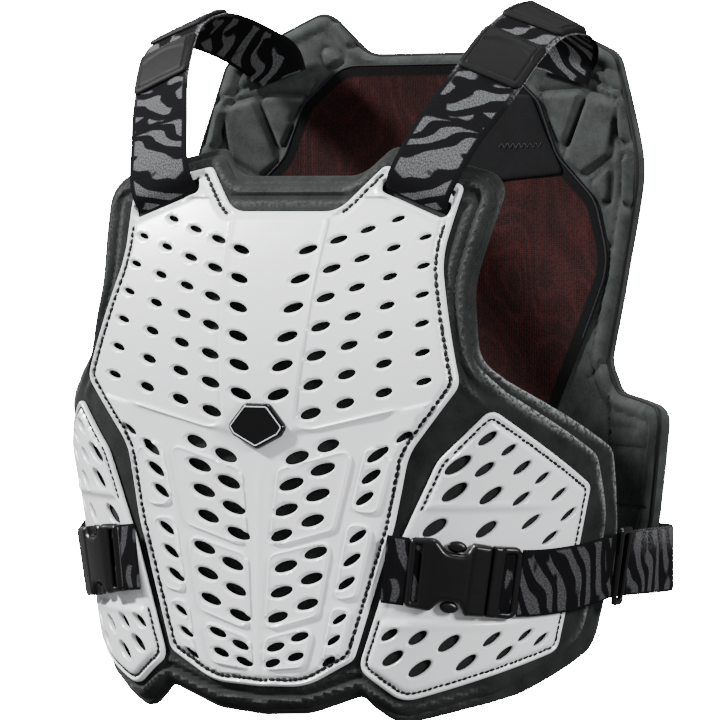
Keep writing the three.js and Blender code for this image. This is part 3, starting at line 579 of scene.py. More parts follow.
def mesh_cloth():
    """Open knit: dark red over black, in a zigzag, with fine upright lines."""
    paint = Paint("liner_mesh", (0.05, 0.012, 0.012), 0.92, Specular_IOR_Level=0.05)
    split = paint.add("ShaderNodeSeparateXYZ")
    paint.join(paint.flat, split.inputs[0])
    x, y = split.outputs["X"], split.outputs["Y"]
    grain = paint.noise(paint.moved(paint.flat, (1, 0.55, 1)), 13, 1.5)
    band = paint.math("SINE", paint.math("MULTIPLY", grain, 95.0))
    wales = paint.math("SINE", paint.math("MULTIPLY", x, 2 * math.pi / WALE_PITCH))
    dots = paint.math("SINE", paint.math("MULTIPLY", y, 2 * math.pi / COURSE_PITCH))
    lit = paint.math("MULTIPLY", paint.math("ADD", wales, paint.math("MULTIPLY", dots, 0.7)), 0.5)
    holes = paint.cells(paint.moved(paint.flat, (1, 0.8, 1)), 640)
    patchy = paint.noise(paint.flat, 22, 2)
    tone = (0.021, 0.0095, 0.0092)
    tone = paint.mix(paint.ramp(band, (0.0, 0.0), (0.95, 0.6)), tone, (0.044, 0.0145, 0.0135))
    tone = paint.mix(paint.ramp(lit, (0.35, 0.0), (0.85, 0.8)), tone, (0.095, 0.024, 0.021))
    tone = paint.mix(paint.ramp(patchy, (0.35, 0.5), (0.65, 0.0)), tone, (0.013, 0.0075, 0.0075))
    tone = paint.mix(paint.ramp(holes, (0.25, 0.5), (0.5, 0.0)), tone, (0.0045, 0.003, 0.003))
    paint.color(paint.mix(paint.attribute("pale"), tone, (0.006, 0.006, 0.0065)))
    paint.bumps((holes, 0.5, 0.0005), (wales, 0.15, 0.0003))
    return paint.material


def thread_cloth(name, color):
    """Twisted thread or binding tape."""
    paint = Paint(name, color, 0.6, Specular_IOR_Level=0.15)
    twist = paint.noise(paint.solid, 2600, 2)
    paint.color(paint.mix(twist, tuple(c * 0.5 for c in color), tuple(min(1, c * 2.2) for c in color)))
    paint.bumps((twist, 0.5, 0.0003))
    return paint.material


white = moulded("white_plate", (0.8, 0.81, 0.835), 0.3, grain=0.06, coat=0.25)
black_plastic = moulded("buckle_plastic", (0.0028, 0.0028, 0.0032), 0.3, grain=0.1, shine=0.3)
tab_rubber = moulded("tab_rubber", (0.002, 0.002, 0.0022), 0.6, grain=0.25, shine=0.14)
gloss_black = moulded("badge_plastic", (0.0015, 0.0015, 0.002), 0.14, grain=0.02, coat=0.1, shine=0.3)
# Bright grey for a ring on the badge's rounded shoulder: a painted highlight.
painted_badge_highlight = moulded("badge_painted_highlight", (0.62, 0.63, 0.65), 0.28, grain=0.02)
# The front foam's pale colour is both its cut edges' fuzz and the painted sheen on its rolled edges.
front_cloth = foam_cloth("front_foam", (0.0105, 0.0113, 0.011), (0.2, 0.21, 0.21))
back_cloth = foam_cloth("back_foam", (0.026, 0.029, 0.028), (0.12, 0.128, 0.125))
band_cloth = foam_cloth("liner_band", (0.0018, 0.0018, 0.0023), (0.02, 0.02, 0.024))
shoulder_cloth = webbing_cloth("elastic", 25.0, (0.3, 0.1, 0), 0.85, (0.12, 0.122, 0.126))
waist_cloth = webbing_cloth("elastic_waist", 27.0, (0.7, 0.25, 0), -0.45, (0.078, 0.078, 0.083))
knit = mesh_cloth()
thread = thread_cloth("thread", (0.004, 0.004, 0.0045))
binding = thread_cloth("binding", (0.006, 0.006, 0.006))

# Tables. An outline's row is a corner: across and up as shares of the panel's half width and of its
# rise or drop, and round as a share of the half width
PLATE = [
    (0, 0.823, 0), (0.29, 0.823, 0.16), (0.475, 1.0, 0.04), (0.9, 0.923, 0.04), (0.86, 0.648, 0.5),
    (1.01, 0.171, 0.09), (0.76, -0.093, 0.28), (0.69, -0.373, 0.9), (0.494, -0.881, 0.08),
    (0.25, -0.992, 0.35), (0, -1.0, 0),
]
# Raised lower panels: corners as shares of the plate's size
PANEL_ROUND = 0.05
PANELS = [
    [(0.1, -0.16), (0.5, -0.07), (0.4, -0.39), (0.06, -0.47)],
    [(0.06, -0.49), (0.39, -0.42), (0.32, -0.72), (0.04, -0.79)],
    [(0.04, -0.81), (0.31, -0.75), (0.25, -0.92), (0.03, -0.94)],
    [(0.56, -0.06), (0.7, -0.1), (0.62, -0.32), (0.48, -0.32)],
    [(0.47, -0.36), (0.6, -0.36), (0.52, -0.64), (0.4, -0.66)],
    [(0.39, -0.68), (0.5, -0.68), (0.42, -0.92), (0.34, -0.92)],
]
# Vent columns: rise, first and last centre, count, half lengths and half widths
VENTS = [
    (22, (0.181, 0.676), (0.101, 0.123), 6, (0.049, 0.059), (0.017, 0.022)),
    (22, (0.326, 0.715), (0.268, 0.053), 7, (0.045, 0.055), (0.015, 0.022)),
    (22, (0.468, 0.754), (0.446, 0.095), 7, (0.039, 0.048), (0.013, 0.02)),
    (22, (0.611, 0.794), (0.641, 0.139), 7, (0.033, 0.043), (0.012, 0.018)),
    (22, (0.766, 0.726), (0.838, 0.184), 6, (0.031, 0.039), (0.011, 0.014)),
    (26, (0.356, -0.068), (0.193, -0.117), 2, (0.059, 0.064), (0.025, 0.026)),
    (26, (0.169, -0.219), (0.116, -0.416), 3, (0.066, 0.062), (0.024, 0.023)),
    (26, (0.333, -0.158), (0.282, -0.355), 3, (0.066, 0.062), (0.024, 0.023)),
    (26, (0.144, -0.534), (0.102, -0.731), 3, (0.062, 0.058), (0.023, 0.021)),
    (26, (0.301, -0.477), (0.261, -0.675), 3, (0.062, 0.058), (0.023, 0.021)),
    (26, (0.095, -0.845), (0.076, -0.908), 2, (0.049, 0.045), (0.018, 0.017)),
    (26, (0.221, -0.801), (0.201, -0.878), 2, (0.049, 0.045), (0.018, 0.017)),
    (34, (0.742, -0.027), (0.742, -0.027), 1, (0.043, 0.043), (0.014, 0.014)),
    (34, (0.613, -0.096), (0.549, -0.264), 3, (0.06, 0.05), (0.02, 0.018)),
    (34, (0.516, -0.408), (0.46, -0.588), 3, (0.05, 0.05), (0.017, 0.017)),
    (34, (0.427, -0.725), (0.368, -0.889), 3, (0.04, 0.04), (0.014, 0.014)),
]
# Degrees that the plate's curve takes off a vent column's rise, and the growth of a vent's rounded edge
VENT_DROP = {22: 7, 26: 9.5, 34: 3}
VENT_LONGER, VENT_WIDER = 1.07, 1.09
# Vents of a side plate in millimetres: reach from the crease, height, half length, half width
SIDE_VENTS = [
    (44.7, -5.7, 7.8, 2.8), (62.2, -14.3, 6.2, 2.1), (27.4, -25.1, 10.9, 3.9), (47.5, -28.4, 8.1, 2.8),
    (75.3, -27.4, 7.5, 2.4), (93, -35.3, 6.2, 1.6), (29.3, -44.9, 10.5, 4.0), (56.4, -47.5, 9.5, 3.3),
    (79.9, -50.3, 7.5, 2.1), (109.9, -47.7, 6.8, 1.6), (92.7, -67.6, 7.8, 2.1), (122.3, -63, 7, 1.4),
    (111.1, -79.7, 6.8, 1.9), (59.3, -72.6, 8.8, 3.4), (20.7, -71.2, 10.0, 4.2), (5.5, -149.9, 7, 2.9),
    (26.8, -151.9, 7.7, 3.3), (50.6, -156.1, 9, 3.6), (82.3, -153.7, 7.6, 2.4), (108.5, -151.6, 6.2, 1.7),
    (123, -155.5, 6.4, 1.6), (11.9, -167.1, 8.7, 3.6), (33.5, -174.5, 9.4, 3.8), (66.7, -170.5, 8.6, 3.1),
    (94.8, -164.3, 7.2, 2.3),
]
FOAM_NECK = [
    (0, 0.961, 0), (0.34, 0.961, 0.15), (0.47, 1.078, 0.08), (1.1, 0.953, 0.16), (1.035, 0.56, 0.6),
    (1.1, 0.26, 0.2),
]
FOAM_SIDE = [
    (0.37, 0.175, 0.2), (1.16, -0.085, 0.12), (1.44, -0.45, 0.4), (1.42, -0.83, 0.2), (0.85, -0.985, 0.4),
    (0.2, -1.09, 0.22), (-0.06, -0.985, 0.06),
]
FOAM_FOOT = [(0.25, -1.1, 0.3), (0, -1.115, 0)]
LAYER_NECK = [
    (0, 0.935, 0), (0.325, 0.935, 0.15), (0.46, 1.05, 0.08), (1.065, 0.93, 0.14), (1.0, 0.555, 0.6),
    (1.065, 0.255, 0.2),
]
LAYER_SIDE = [
    (0.36, 0.14, 0.2), (1.0, -0.1, 0.12), (1.2, -0.35, 0.4), (1.2, -0.78, 0.2), (0.72, -0.96, 0.4),
    (0.2, -1.06, 0.22), (-0.06, -0.965, 0.06),
]
LAYER_FOOT = [(0.25, -1.074, 0.3), (0, -1.09, 0)]
SIDE = [
    (0.3, 0.08, 0.07), (0.975, -0.21, 0.06), (0.993, -0.5, 1.4), (1.0, -0.825, 0.07), (0.19, -1.0, 0.17),
    (-0.09, -0.88, 0.1), (-0.03, -0.45, 0.6), (0.085, -0.11, 0.2),
]
BACK = [
    (0, 0.896, 0), (0.25, 0.896, 0.15), (0.44, 1.01, 0.09), (0.875, 0.885, 0.1), (1.01, 0.61, 0.4),
    (0.835, 0.135, 0.12), (0.89, 0.062, 0.06), (1.19, 0.03, 0.08), (1.1, -0.36, 0.2), (1.03, -0.5, 0.1),
    (0.76, -0.62, 0.2), (0.6, -0.97, 0.18), (0, -1.0, 0),
]
LINER = [
    (0, 0.872, 0), (0.36, 0.872, 0.2), (0.535, 0.775, 0.12), (0.62, 0.64, 0.15), (0.8, 0.53, 0.18),
    (0.87, 0.375, 0.25), (0.61, 0.006, 0.4), (0.52, -0.3, 0.3), (0.44, -0.66, 0.15), (0, -0.7, 0),
]
PATCH = [(0.19, 0.79, 0.02), (0.5, 0.79, 0.05), (0.57, 0.69, 0.1), (0.65, 0.595, 0.02), (0.19, 0.57, 0.02)]
BADGE = [(0, 1.0, 0), (0.42, 1.0, 0.2), (1.0, 0.0, 0.16), (0.8, -0.42, 0.2), (0, -1.0, 0.15)]

PLATE_SIZE = (PLATE_HALF, PLATE_RISE, PLATE_DROP)
BACK_SIZE = (BACK_HALF, BACK_RISE, BACK_DROP)
plate_loop = ring(mirrored(sized(PLATE, *PLATE_SIZE)), 10)
side_loop = ring(sized(SIDE, SIDE_REACH, SIDE_DROP, SIDE_DROP), 10)
panel_loops = [
    ring(sized([(s * a, b, PANEL_ROUND) for a, b in row], *PLATE_SIZE), 5)
    for row in PANELS
    for s in (1, -1)
]


SLOT_TURN, SLOT_HALF, SLOT_WIDE, SLOT_ROUND = 20.6, 30.2, 6.0, 5
SLOT_ACROSS, SLOT_UP = 0.676, 0.877


def slot_loop(s):
    """The opening for a shoulder strap."""
    turn = math.radians(-SLOT_TURN * s)
    c, n = math.cos(turn), math.sin(turn)
    cx, cy = s * SLOT_ACROSS * PLATE_HALF, SLOT_UP * PLATE_RISE
    corners = [(x * SLOT_HALF, y * SLOT_WIDE) for x, y in ((-1, -1), (1, -1), (1, 1), (-1, 1))]
    return ring([(cx + x * c - y * n, cy + x * n + y * c, SLOT_ROUND) for x, y in corners])


slots = [slot_loop(1), slot_loop(-1)]


def chest_vents():
    """Every vent of the chest plate: centre, half length, half width and turn."""
    holes = []
    for rise, first, last, count, long, wide in VENTS:
        for i in range(count):
            t = i / (count - 1) if count > 1 else 0
            a, b = np.array(first), np.array(last)
            across, height = a + (b - a) * t
            cy = height * (PLATE_RISE if height > 0 else PLATE_DROP)
            half = [(v[0] + (v[1] - v[0]) * t) * PLATE_HALF for v in (long, wide)]
            for s in (1, -1):
                turn = s * math.radians(rise - VENT_DROP[rise])
                cx = s * across * PLATE_HALF
                holes.append((cx, cy, VENT_LONGER * half[0], VENT_WIDER * half[1], turn))
    return holes


plate_holes = chest_vents()


def side_vent(u, z, a, b):
    """A vent whose ellipse is seen from the camera's side, unrolled onto the rib's curve."""
    angle = math.radians(36 + u * 0.09)
    c, s = math.cos(angle), math.sin(angle)
    seen_as = np.array([[a * c, -b * s], [a * s, b * c]])
    seen_as[0] /= max(0.6, math.cos(u / RIB_R - 0.149))
    axes, halves, _ = np.linalg.svd(seen_as)
    turn = math.atan2(axes[1, 0], axes[0, 0])
    return u, z, 0.94 * halves[0], 1.12 * halves[1], turn


side_holes = [side_vent(u, z, a, max(b, 1.9)) for u, z, a, b in SIDE_VENTS]


def nearest(points, holes):
    """Distance outside the nearest vent's edge."""
    best = np.full(len(points), 99.0)
    for hole in holes:
        close = np.abs(points - np.array(hole[:2])).max(1) < hole[2] + 8
        best[close] = np.minimum(best[close], beyond_ellipse(points[close], hole))
    return best


def rim(distance, high=0.15, deep=1.9):
    """A rounded edge that falls into a hole."""
    return high * bump(distance, 2.2, 0.9) - deep * fall(distance, 1.9)


# Relief of the hard plates, in millimetres above the face or below it
BASE, EDGE_DROP, EDGE_ROUND, GROOVE, FIELD = 1.0, 2.2, 2.2, 1.7, 1.3
CHEEK_RISE, LOWER_SINK, PANEL_RISE, PANEL_LIP, RIDGE = 1.7, 0.9, 1.65, 0.7, 0.8
OPENING_LIP, OPENING_FALL, UNDER_BADGE = 0.9, 2.0, 3.6
SIDE_BASE, SIDE_EDGE_DROP, SIDE_GROOVE, SIDE_FIELD = 0.8, 1.9, 1.5, 1.6
CHANNEL_SINK, CHANNEL_LIP = 2.3, 0.9
PLATE_WALL, PLATE_THIN, SIDE_WALL, SIDE_THIN = 3.0, 1.7, 2.6, 1.5
PLATE_SPACING, BADGE_SPACING, BADGE_SEAT = 2.1, 1.1, -3.85
PANEL_OFFSETS, CHEEK_OFFSETS = (-1.4, -0.5, 0.4, 1.3, 2.3), (-2.2, -1.2, -0.2, 0.8, 1.8)
# The field beside the raised middle of the chest plate
CHEEK = [(42.5, 170, 0), (35.5, 60, 60), (28, -5, 16), (140, 21, 6), (190, 60, 0), (190, 170, 0)]
cheek_loop = ring(CHEEK, 10)


def chest_height(p):
    """Relief of the chest plate: border groove, field, cheeks, panels, middle ridge, vents and openings."""
    u, z = np.abs(p[:, 0]), p[:, 1]
    q = np.stack([u, z], -1)
    s = inside_by(p, plate_loop)
    straight = step(z, 126, 140) * (1 - step(u, 40, 48))
    h = BASE - EDGE_DROP * fall(s, EDGE_ROUND)
    h -= GROOVE * (step(s, 3.0, 3.9) - step(s, 6.3, 7.4)) * (1 - straight)
    field = step(s + 4.2 * straight, 6.5, 9.4)
    h += FIELD * field
    cheek = inside_by(q, cheek_loop)
    below = (1 - step(z - CREASE_SLOPE * (u - 28), -8, -1)) * (1 - step(u, 100, 128))
    outside = 1 - step(cheek, -2.2, 0.3)
    h += field * (CHEEK_RISE * outside * (1 - below) - LOWER_SINK * below * outside)
    h += (1.15 + 0.6 * step(z, 4, 14)) * bump(cheek, -0.2, 1.15) * field * (1 - step(u, 96, 126))
    badge_seat = bump(np.hypot(u / 30, (z + 1) / 23), 0, 0.8)
    for loop in panel_loops:
        d = inside_by(p, loop)
        h += field * (PANEL_RISE * step(d, -0.9, 1.5) + PANEL_LIP * bump(d, 1.3, 0.95)) * (1 - badge_seat)
    h += RIDGE * bump(u, 0, 2.2) * (1 - step(z, -44, -26)) * field
    h += rim(nearest(p, plate_holes))
    for loop in slots:
        d = np.clip(-inside_by(p, loop), 0, None)
        h += OPENING_LIP * bump(d, 1.9, 1.5) - OPENING_FALL * fall(d, 1.5)
    return np.where(np.hypot(u / 27, z / 19) < 1, np.minimum(h, UNDER_BADGE), h)


def side_height(p):
    """Relief of a side plate: border groove, field, the strap's channel and vents."""
    u, z = p[:, 0], p[:, 1]
    s = inside_by(p, side_loop)
    channel = step(z, -142, -137.5) * (1 - step(z, -60.5, -56)) * (1 - step(u, 84, 122))
    front_edge = channel * (1 - step(u, 12, 22))
    h = SIDE_BASE - SIDE_EDGE_DROP * fall(s, EDGE_ROUND)
    h -= SIDE_GROOVE * (step(s, 2.9, 3.8) - step(s, 5.8, 6.8)) * (1 - front_edge)
    h += (SIDE_FIELD - CHANNEL_SINK * channel) * step(s, 6.0, 8.6)
    lips = bump(z, -54.6, 2.0) + bump(z, -143.5, 2.0)
    h += CHANNEL_LIP * lips * (1 - step(u, 80, 110)) * step(s, 8, 11)
    return h + rim(nearest(p, side_holes))


def lipped(height, wall, thin):
    """The underside: it follows the face, so that the plate is thin at its vents."""
    return lambda p: np.minimum(wall, thin - height(p))


# Hard plates

plate_creases = [(loop, PANEL_OFFSETS) for loop in panel_loops]
plate_creases += [(cheek_loop * (s, 1), CHEEK_OFFSETS) for s in (1, -1)]
plate_creases = [(anticlockwise(loop), offsets) for loop, offsets in plate_creases]
plate_under = lipped(chest_height, PLATE_WALL, PLATE_THIN)
plate_cuts = {"holes": plate_holes, "slots": slots, "creases": plate_creases}
plate_mesh = shell("chest_plate", plate_loop, chest, chest_height, plate_under, PLATE_SPACING, **plate_cuts)
link(plate_mesh, white, ["front_shell"])

side_under = lipped(side_height, SIDE_WALL, SIDE_THIN)
side_mesh = shell("side_plate_left", side_loop, flank, side_height, side_under, PLATE_SPACING, side_holes)
link(side_mesh, white, ["flank_shell_left"])
link(flipped(side_mesh, "side_plate_right"), white, ["flank_shell_right"])

BADGE_HALF, BADGE_RISE = 24, 17
badge_corners = mirrored(sized(BADGE, BADGE_HALF, BADGE_RISE, BADGE_RISE))
badge_loop = ring([(1.06 * x, 1.02 * y, 1.3 * r) for x, y, r in badge_corners], 10)


def badge_height(p):
    """The badge's rounded shoulder, and its slightly sunk face."""
    s = inside_by(p, badge_loop)
    return 3.86 + 3.6 * (1 - fall(s, 2.4)) ** 0.5 - 0.55 * step(s, 2.6, 3.6)


badge_rings = (0, 0.25, 0.6, 1.1, 1.8, 2.4, 3.1, 3.8)
badge_size = (BADGE_SEAT, BADGE_SPACING)
badge_mesh = shell("badge_face", badge_loop, chest, badge_height, *badge_size, rings=badge_rings)
link(badge_mesh, gloss_black, ["badge"])


def tube(name, path, radius, closed=False, sides=8):
    """A round cord through points in vest coordinates."""
    path = np.asarray(path, float)
    ahead, behind = np.roll(path, -1, 0), np.roll(path, 1, 0)
    if not closed:
        ahead[-1], behind[0] = path[-1], path[0]
    tangent = ahead - behind
    tangent /= np.linalg.norm(tangent, axis=1)[:, None]
    guide = np.array([0.0, -1.0, 0.0])
    one = np.cross(tangent, guide)
    one /= np.linalg.norm(one, axis=1)[:, None] + 1e-9
    two = np.cross(tangent, one)
    angles = np.arange(sides) / sides * 2 * math.pi
    points = path[:, None] + radius * (
        np.cos(angles)[None, :, None] * one[:, None] + np.sin(angles)[None, :, None] * two[:, None]
    )
    points = points.reshape(-1, 3)
    return make_mesh(name, points, skin(len(path), sides, closed), points[:, [0, 2]], None, 60)


def inner_path(loop, distance, spacing=1.5):
    """A closed path inside an outline."""
    loop = resampled(loop, spacing)
    for _ in range(4):
        loop = loop + normals_in(loop) * distance / 4
    return loop


# A bright ring along the crest of the badge's rounded shoulder: a painted highlight, not a trim of its own.
edge = inner_path(badge_loop, 2.75, 0.8)
link(tube("badge_painted_highlight", chest(*edge.T, -7.35), 0.42, True), painted_badge_highlight, ())


def away_from_slots(p):
    p = np.array([p])
    return min(-inside_by(p, loop)[0] for loop in slots) > 5


def plate_sewn(p):
    """Where the chest plate is sewn: not at the neck, nor at the openings for the straps."""
    return not (p[1] > 128 and abs(p[0]) < 49) and away_from_slots(p)


path = inner_path(plate_loop, 5.1)
chest_thread = stitches("chest_stitches", path, chest, 0.1, 5.0, 0.05, 1.2, 0.3, plate_sewn)
link(chest_thread, thread, ())


def side_sewn(p):
    """Where a side plate is sewn: not under the strap at its front edge."""
    return not (p[0] < 30 and -140 < p[1] < -60)


path = inner_path(side_loop, 4.8)
side_thread = stitches("side_stitches_left", path, flank, 0.1, 4.2, 0.1, 0.85, 0.22, side_sewn)
link(side_thread, thread, ())
link(flipped(side_thread, "side_stitches_right"), thread, ())

# Foams


def round_front(neck, side, foot):
    """A foam layer's outline: rows on the plate's size, and rows at the ribs that start at the crease."""
    ribs = [(float(crease(y)) + x, y, r) for x, y, r in sized(side, SIDE_REACH, SIDE_DROP, SIDE_DROP)]
    return ring(mirrored([*sized(neck, *PLATE_SIZE), *ribs, *sized(foot, *PLATE_SIZE)]), 10)


foam_loop = round_front(FOAM_NECK, FOAM_SIDE, FOAM_FOOT)
layer_loop = round_front(LAYER_NECK, LAYER_SIDE, LAYER_FOOT)
bib_loop = ring([(-60, 186, 4), (60, 186, 4), (40, 160, 4), (-40, 160, 4)], 5)
FOAM_RINGS = (0, 0.8, 1.8, 3.2)
LAYER_DEEP, LAYER_SPACING, BASE_DEEP, BASE_SPACING = 8.3, 3.0, 15.9, 3.2


def clear_of_plates(p):
    """Distance outside every hard plate."""
    u = np.abs(p[:, 0])
    beside = np.stack([u - crease(p[:, 1]), p[:, 1]], -1)
    return np.minimum(-inside_by(p, plate_loop), -inside_by(beside, side_loop))


def waves(p, size, amount, seed=0):
    """Slow unevenness of soft cloth."""
    u, z = p.T / size
    a = np.sin(u + 1.7 * np.sin(0.6 * z + seed)) * np.cos(0.9 * z + 1.3 * np.sin(0.7 * u + seed))
    return amount * (a + 0.5 * np.sin(2.3 * u + 1.9 * z + seed))


def at_ribs(p):
    """How far a point is round at the ribs, where the foam's edge is cut and not rolled."""
    return step(np.abs(p[:, 0]), 168, 186)


def layer_height(p):
    """The outer layer: rolled edges towards the neck and arms, and a sunk field at the neck."""
    s = inside_by(p, layer_loop)
    free = step(clear_of_plates(p), 0.8, 5.5)
    ribs = at_ribs(p)
    roll = 2.3 * bump(s, 6.0, 3.0) + 2.1 * bump(s, 16.5, 3.4) - 1.7 * bump(s, 11.2, 2.2)
    h = -3.9 + free * (roll * (1 - ribs) + 0.7 * ribs)
    h -= (1 - ribs) * 3.2 * fall(s, 5) + ribs * 0.8 * fall(s, 2)
    h -= 1.6 * step(inside_by(p, bib_loop), -1, 2.5) * free
    return h + waves(p, 14, 0.12) * free


def base_height(p):
    """The base layer, with its rounded edge."""
    s = inside_by(p, foam_loop)
    ribs = at_ribs(p)
    h = -8.0 - (1 - ribs) * 2.6 * fall(s, 4) - ribs * 0.6 * fall(s, 1.6)
    return h + waves(p, 12, 0.14, 2) * step(s, 1, 5)


def cut_edge_and_roll_sheen(loop, width, roll_sheen):
    """Where the fabric is pale: its own pale fuzz along the cut edges at the ribs, and a faint painted
    sheen on the crests of the rolled edges.
    """

    def pale(p):
        s = inside_by(p, loop)
        ragged = width * (0.75 + 0.5 * np.sin(p[:, 1] / 17 + 1) ** 2)
        cut = (1 - step(s, 0.2, ragged)) * at_ribs(p) * step(p[:, 1], -165, -135)
        # The rolled edges' share is painted sheen: pale colour on the two crests of each roll, where light
        # catches them.
        rolled = roll_sheen * (bump(s, 5.4, 1.5) + 0.8 * bump(s, 16.0, 1.5)) * (1 - at_ribs(p))
        return np.maximum(cut * 0.9, rolled)

    return pale


layer_look = {"pale": cut_edge_and_roll_sheen(layer_loop, 6.0, 0.2), "rings": FOAM_RINGS}
layer_size = (LAYER_DEEP, LAYER_SPACING)
layer_mesh = shell("front_foam_face", layer_loop, front, layer_height, *layer_size, **layer_look)
layer = link(layer_mesh, front_cloth, ["front_foam"])


def base_deep(p):
    """The foam's inner face, towards the wearer."""
    return BASE_DEEP - 2.0 * fall(inside_by(p, foam_loop), 4) + waves(p, 20, 0.15, 4)


base_look = {"pale": cut_edge_and_roll_sheen(foam_loop, 5.0, 0.1), "rings": FOAM_RINGS}
base_mesh = shell("front_foam_back", foam_loop, front, base_height, base_deep, BASE_SPACING, **base_look)
base = link(base_mesh, front_cloth, ["front_foam"])

back_loop = ring(mirrored(sized(BACK, *BACK_SIZE)), 10)
liner_loop = ring(mirrored(sized(LINER, *BACK_SIZE)), 10)
# Embossed fields and grooves of the back pad's left half, in millimetres
EMBOSSED = [
    [(105.6, 249.5), (144.9, 250.8), (127.6, 207.8)],
    [(151.8, 248.8), (181, 240.9), (171, 202), (145, 187.3), (128.6, 198.5)],
    [(154, 180), (173, 194), (171, 167), (164, 165)],
    [(178, 245), (186, 245), (191, 212), (183, 212)],
    [(185, 200), (192, 200), (196, 164), (187, 164)],
    [(76, 312), (82.5, 308), (67.5, 290), (61, 294)],
    [(91.5, 289), (70, 281), (85, 272.5)],
]
GROOVES = [
    ((175, -7), (203, -7)), ((175, -22), (214, -22)), ((173, -66), (214, -66)), ((172, 45), (171, -12)),
    ((149, 29), (169, 45)), ((171, -12), (173, -66)), ((173, -66), (158, -118)), ((97, 262), (118, 232)),
    ((150, 262), (192, 246)), ((150, 150), (176, 132)),
]
QUILT_ROWS = (-150, -80, -10, 60, 130, 200)
EMBOSSED_OFFSETS = (-3.0, -1.6, -0.4, 0.9, 2.2, 3.6)
embossed_loops = [ring([(x, y, 4) for x, y in row], 5) for row in EMBOSSED]


def from_line(p, a, b):
    """Distance from a stretch of straight line."""
    a, b = np.array(a, float), np.array(b, float)
    t = np.clip(((p - a) @ (b - a)) / ((b - a) @ (b - a)), 0, 1)
    return np.linalg.norm(p - a - t[:, None] * (b - a), axis=1)


def back_relief(p):
    """Height of the back pad's inner face towards the wearer."""
    q = np.stack([np.abs(p[:, 0]), p[:, 1]], -1)
    s = inside_by(p, back_loop)
    open_ = step(-inside_by(p, liner_loop), 0.5, 4)
    r = -4.5 * fall(s, 7)
    r += open_ * (1.2 * bump(s, 7.5, 4.0) - 1.4 * bump(s, 14, 2.0))
    for loop in embossed_loops:
        d = inside_by(q, loop)
        r += open_ * (2.6 * step(d, -0.8, 3.4) - 1.8 * bump(d, -2.6, 2.2))
    for a, b in GROOVES:
        r -= open_ * 2.2 * bump(from_line(q, a, b), 0, 1.9)
    return r + waves(p, 17, 0.18, 1) * open_


def back_outer(p):
    """Height of the back pad's outer face, with its quilted lines."""
    s = inside_by(p, back_loop)
    u, z = np.abs(p[:, 0]), p[:, 1]
    quilt = 0.0
    for row in QUILT_ROWS:
        quilt = quilt + bump(z, row + 0.12 * u, 3.2)
    quilt = (quilt + bump(u, 62 + 0.1 * z, 2.6)) * step(s, 10, 18)
    return -15.0 + 4.5 * fall(s, 7) + 2.4 * quilt + waves(p, 22, 0.15, 3)


both_loops = [anticlockwise(loop * (s, 1)) for loop in embossed_loops for s in (1, -1)]
back_creases = [(loop, EMBOSSED_OFFSETS) for loop in both_loops]
back_look = {"rings": FOAM_RINGS, "creases": back_creases}
back_mesh = shell("back_pad", back_loop, rear, lambda p: -back_relief(p), back_outer, 3.0, **back_look)
back_pad = link(back_mesh, back_cloth, ["back_foam"])
edge = inner_path(back_loop, 0.6, 2.5)
link(tube("back_binding", rear(*edge.T, -4.2), 1.5, True), binding, ())


def liner_height(p):
    """The liner lies just clear of the pad's sunk field, slightly loose away from its edge."""
    return -(2.15 + waves(p, 26, 0.16) * step(inside_by(p, liner_loop), 4, 14))


def liner_edge(p):
    """The smooth band round the liner."""
    return 1 - step(inside_by(p, liner_loop), 8.5, 10.5)


liner_look = {"pale": liner_edge, "rings": (0, 0.8, 8.5, 10.5)}
liner_mesh = shell("mesh_liner", liner_loop, rear, liner_height, 0.75, 3.4, **liner_look)
liner = link(liner_mesh, knit, ["back_liner"])


edge = inner_path(liner_loop, 0.8, 2.0)
BINDING_FOOT = 60
dark_binding = thread_cloth("liner_binding", (0.012, 0.012, 0.015))
upper = edge[edge[:, 1] > BINDING_FOOT]
upper = upper[np.argsort(np.arctan2(upper[:, 0], upper[:, 1] - BINDING_FOOT))]
link(tube("liner_binding", rear(*upper.T, 2.2), 0.7), dark_binding, ())

patch_loop = ring(sized(PATCH, *BACK_SIZE), 8)


def patch_height(p):
    """The band on the liner, thinner at its edge."""
    return -(4.5 - 0.9 * fall(inside_by(p, patch_loop), 2.5) + waves(p, 16, 0.1))


patch_mesh = shell("liner_patch", patch_loop, rear, patch_height, 2.95, 2.6)
patch = link(patch_mesh, band_cloth, ["liner_band"])
zigzag = [(72 + 2.6 * i, 210 + (2.6 if i % 2 else -2.6)) for i in range(16)]
there_and_back = np.array(zigzag + zigzag[-2:0:-1], float)
patch_thread = stitches("patch_stitches", there_and_back, rear, 4.7, 3.3, 0.35, 0.4, 0.03)
link(patch_thread, dark_binding, ())

# Straps


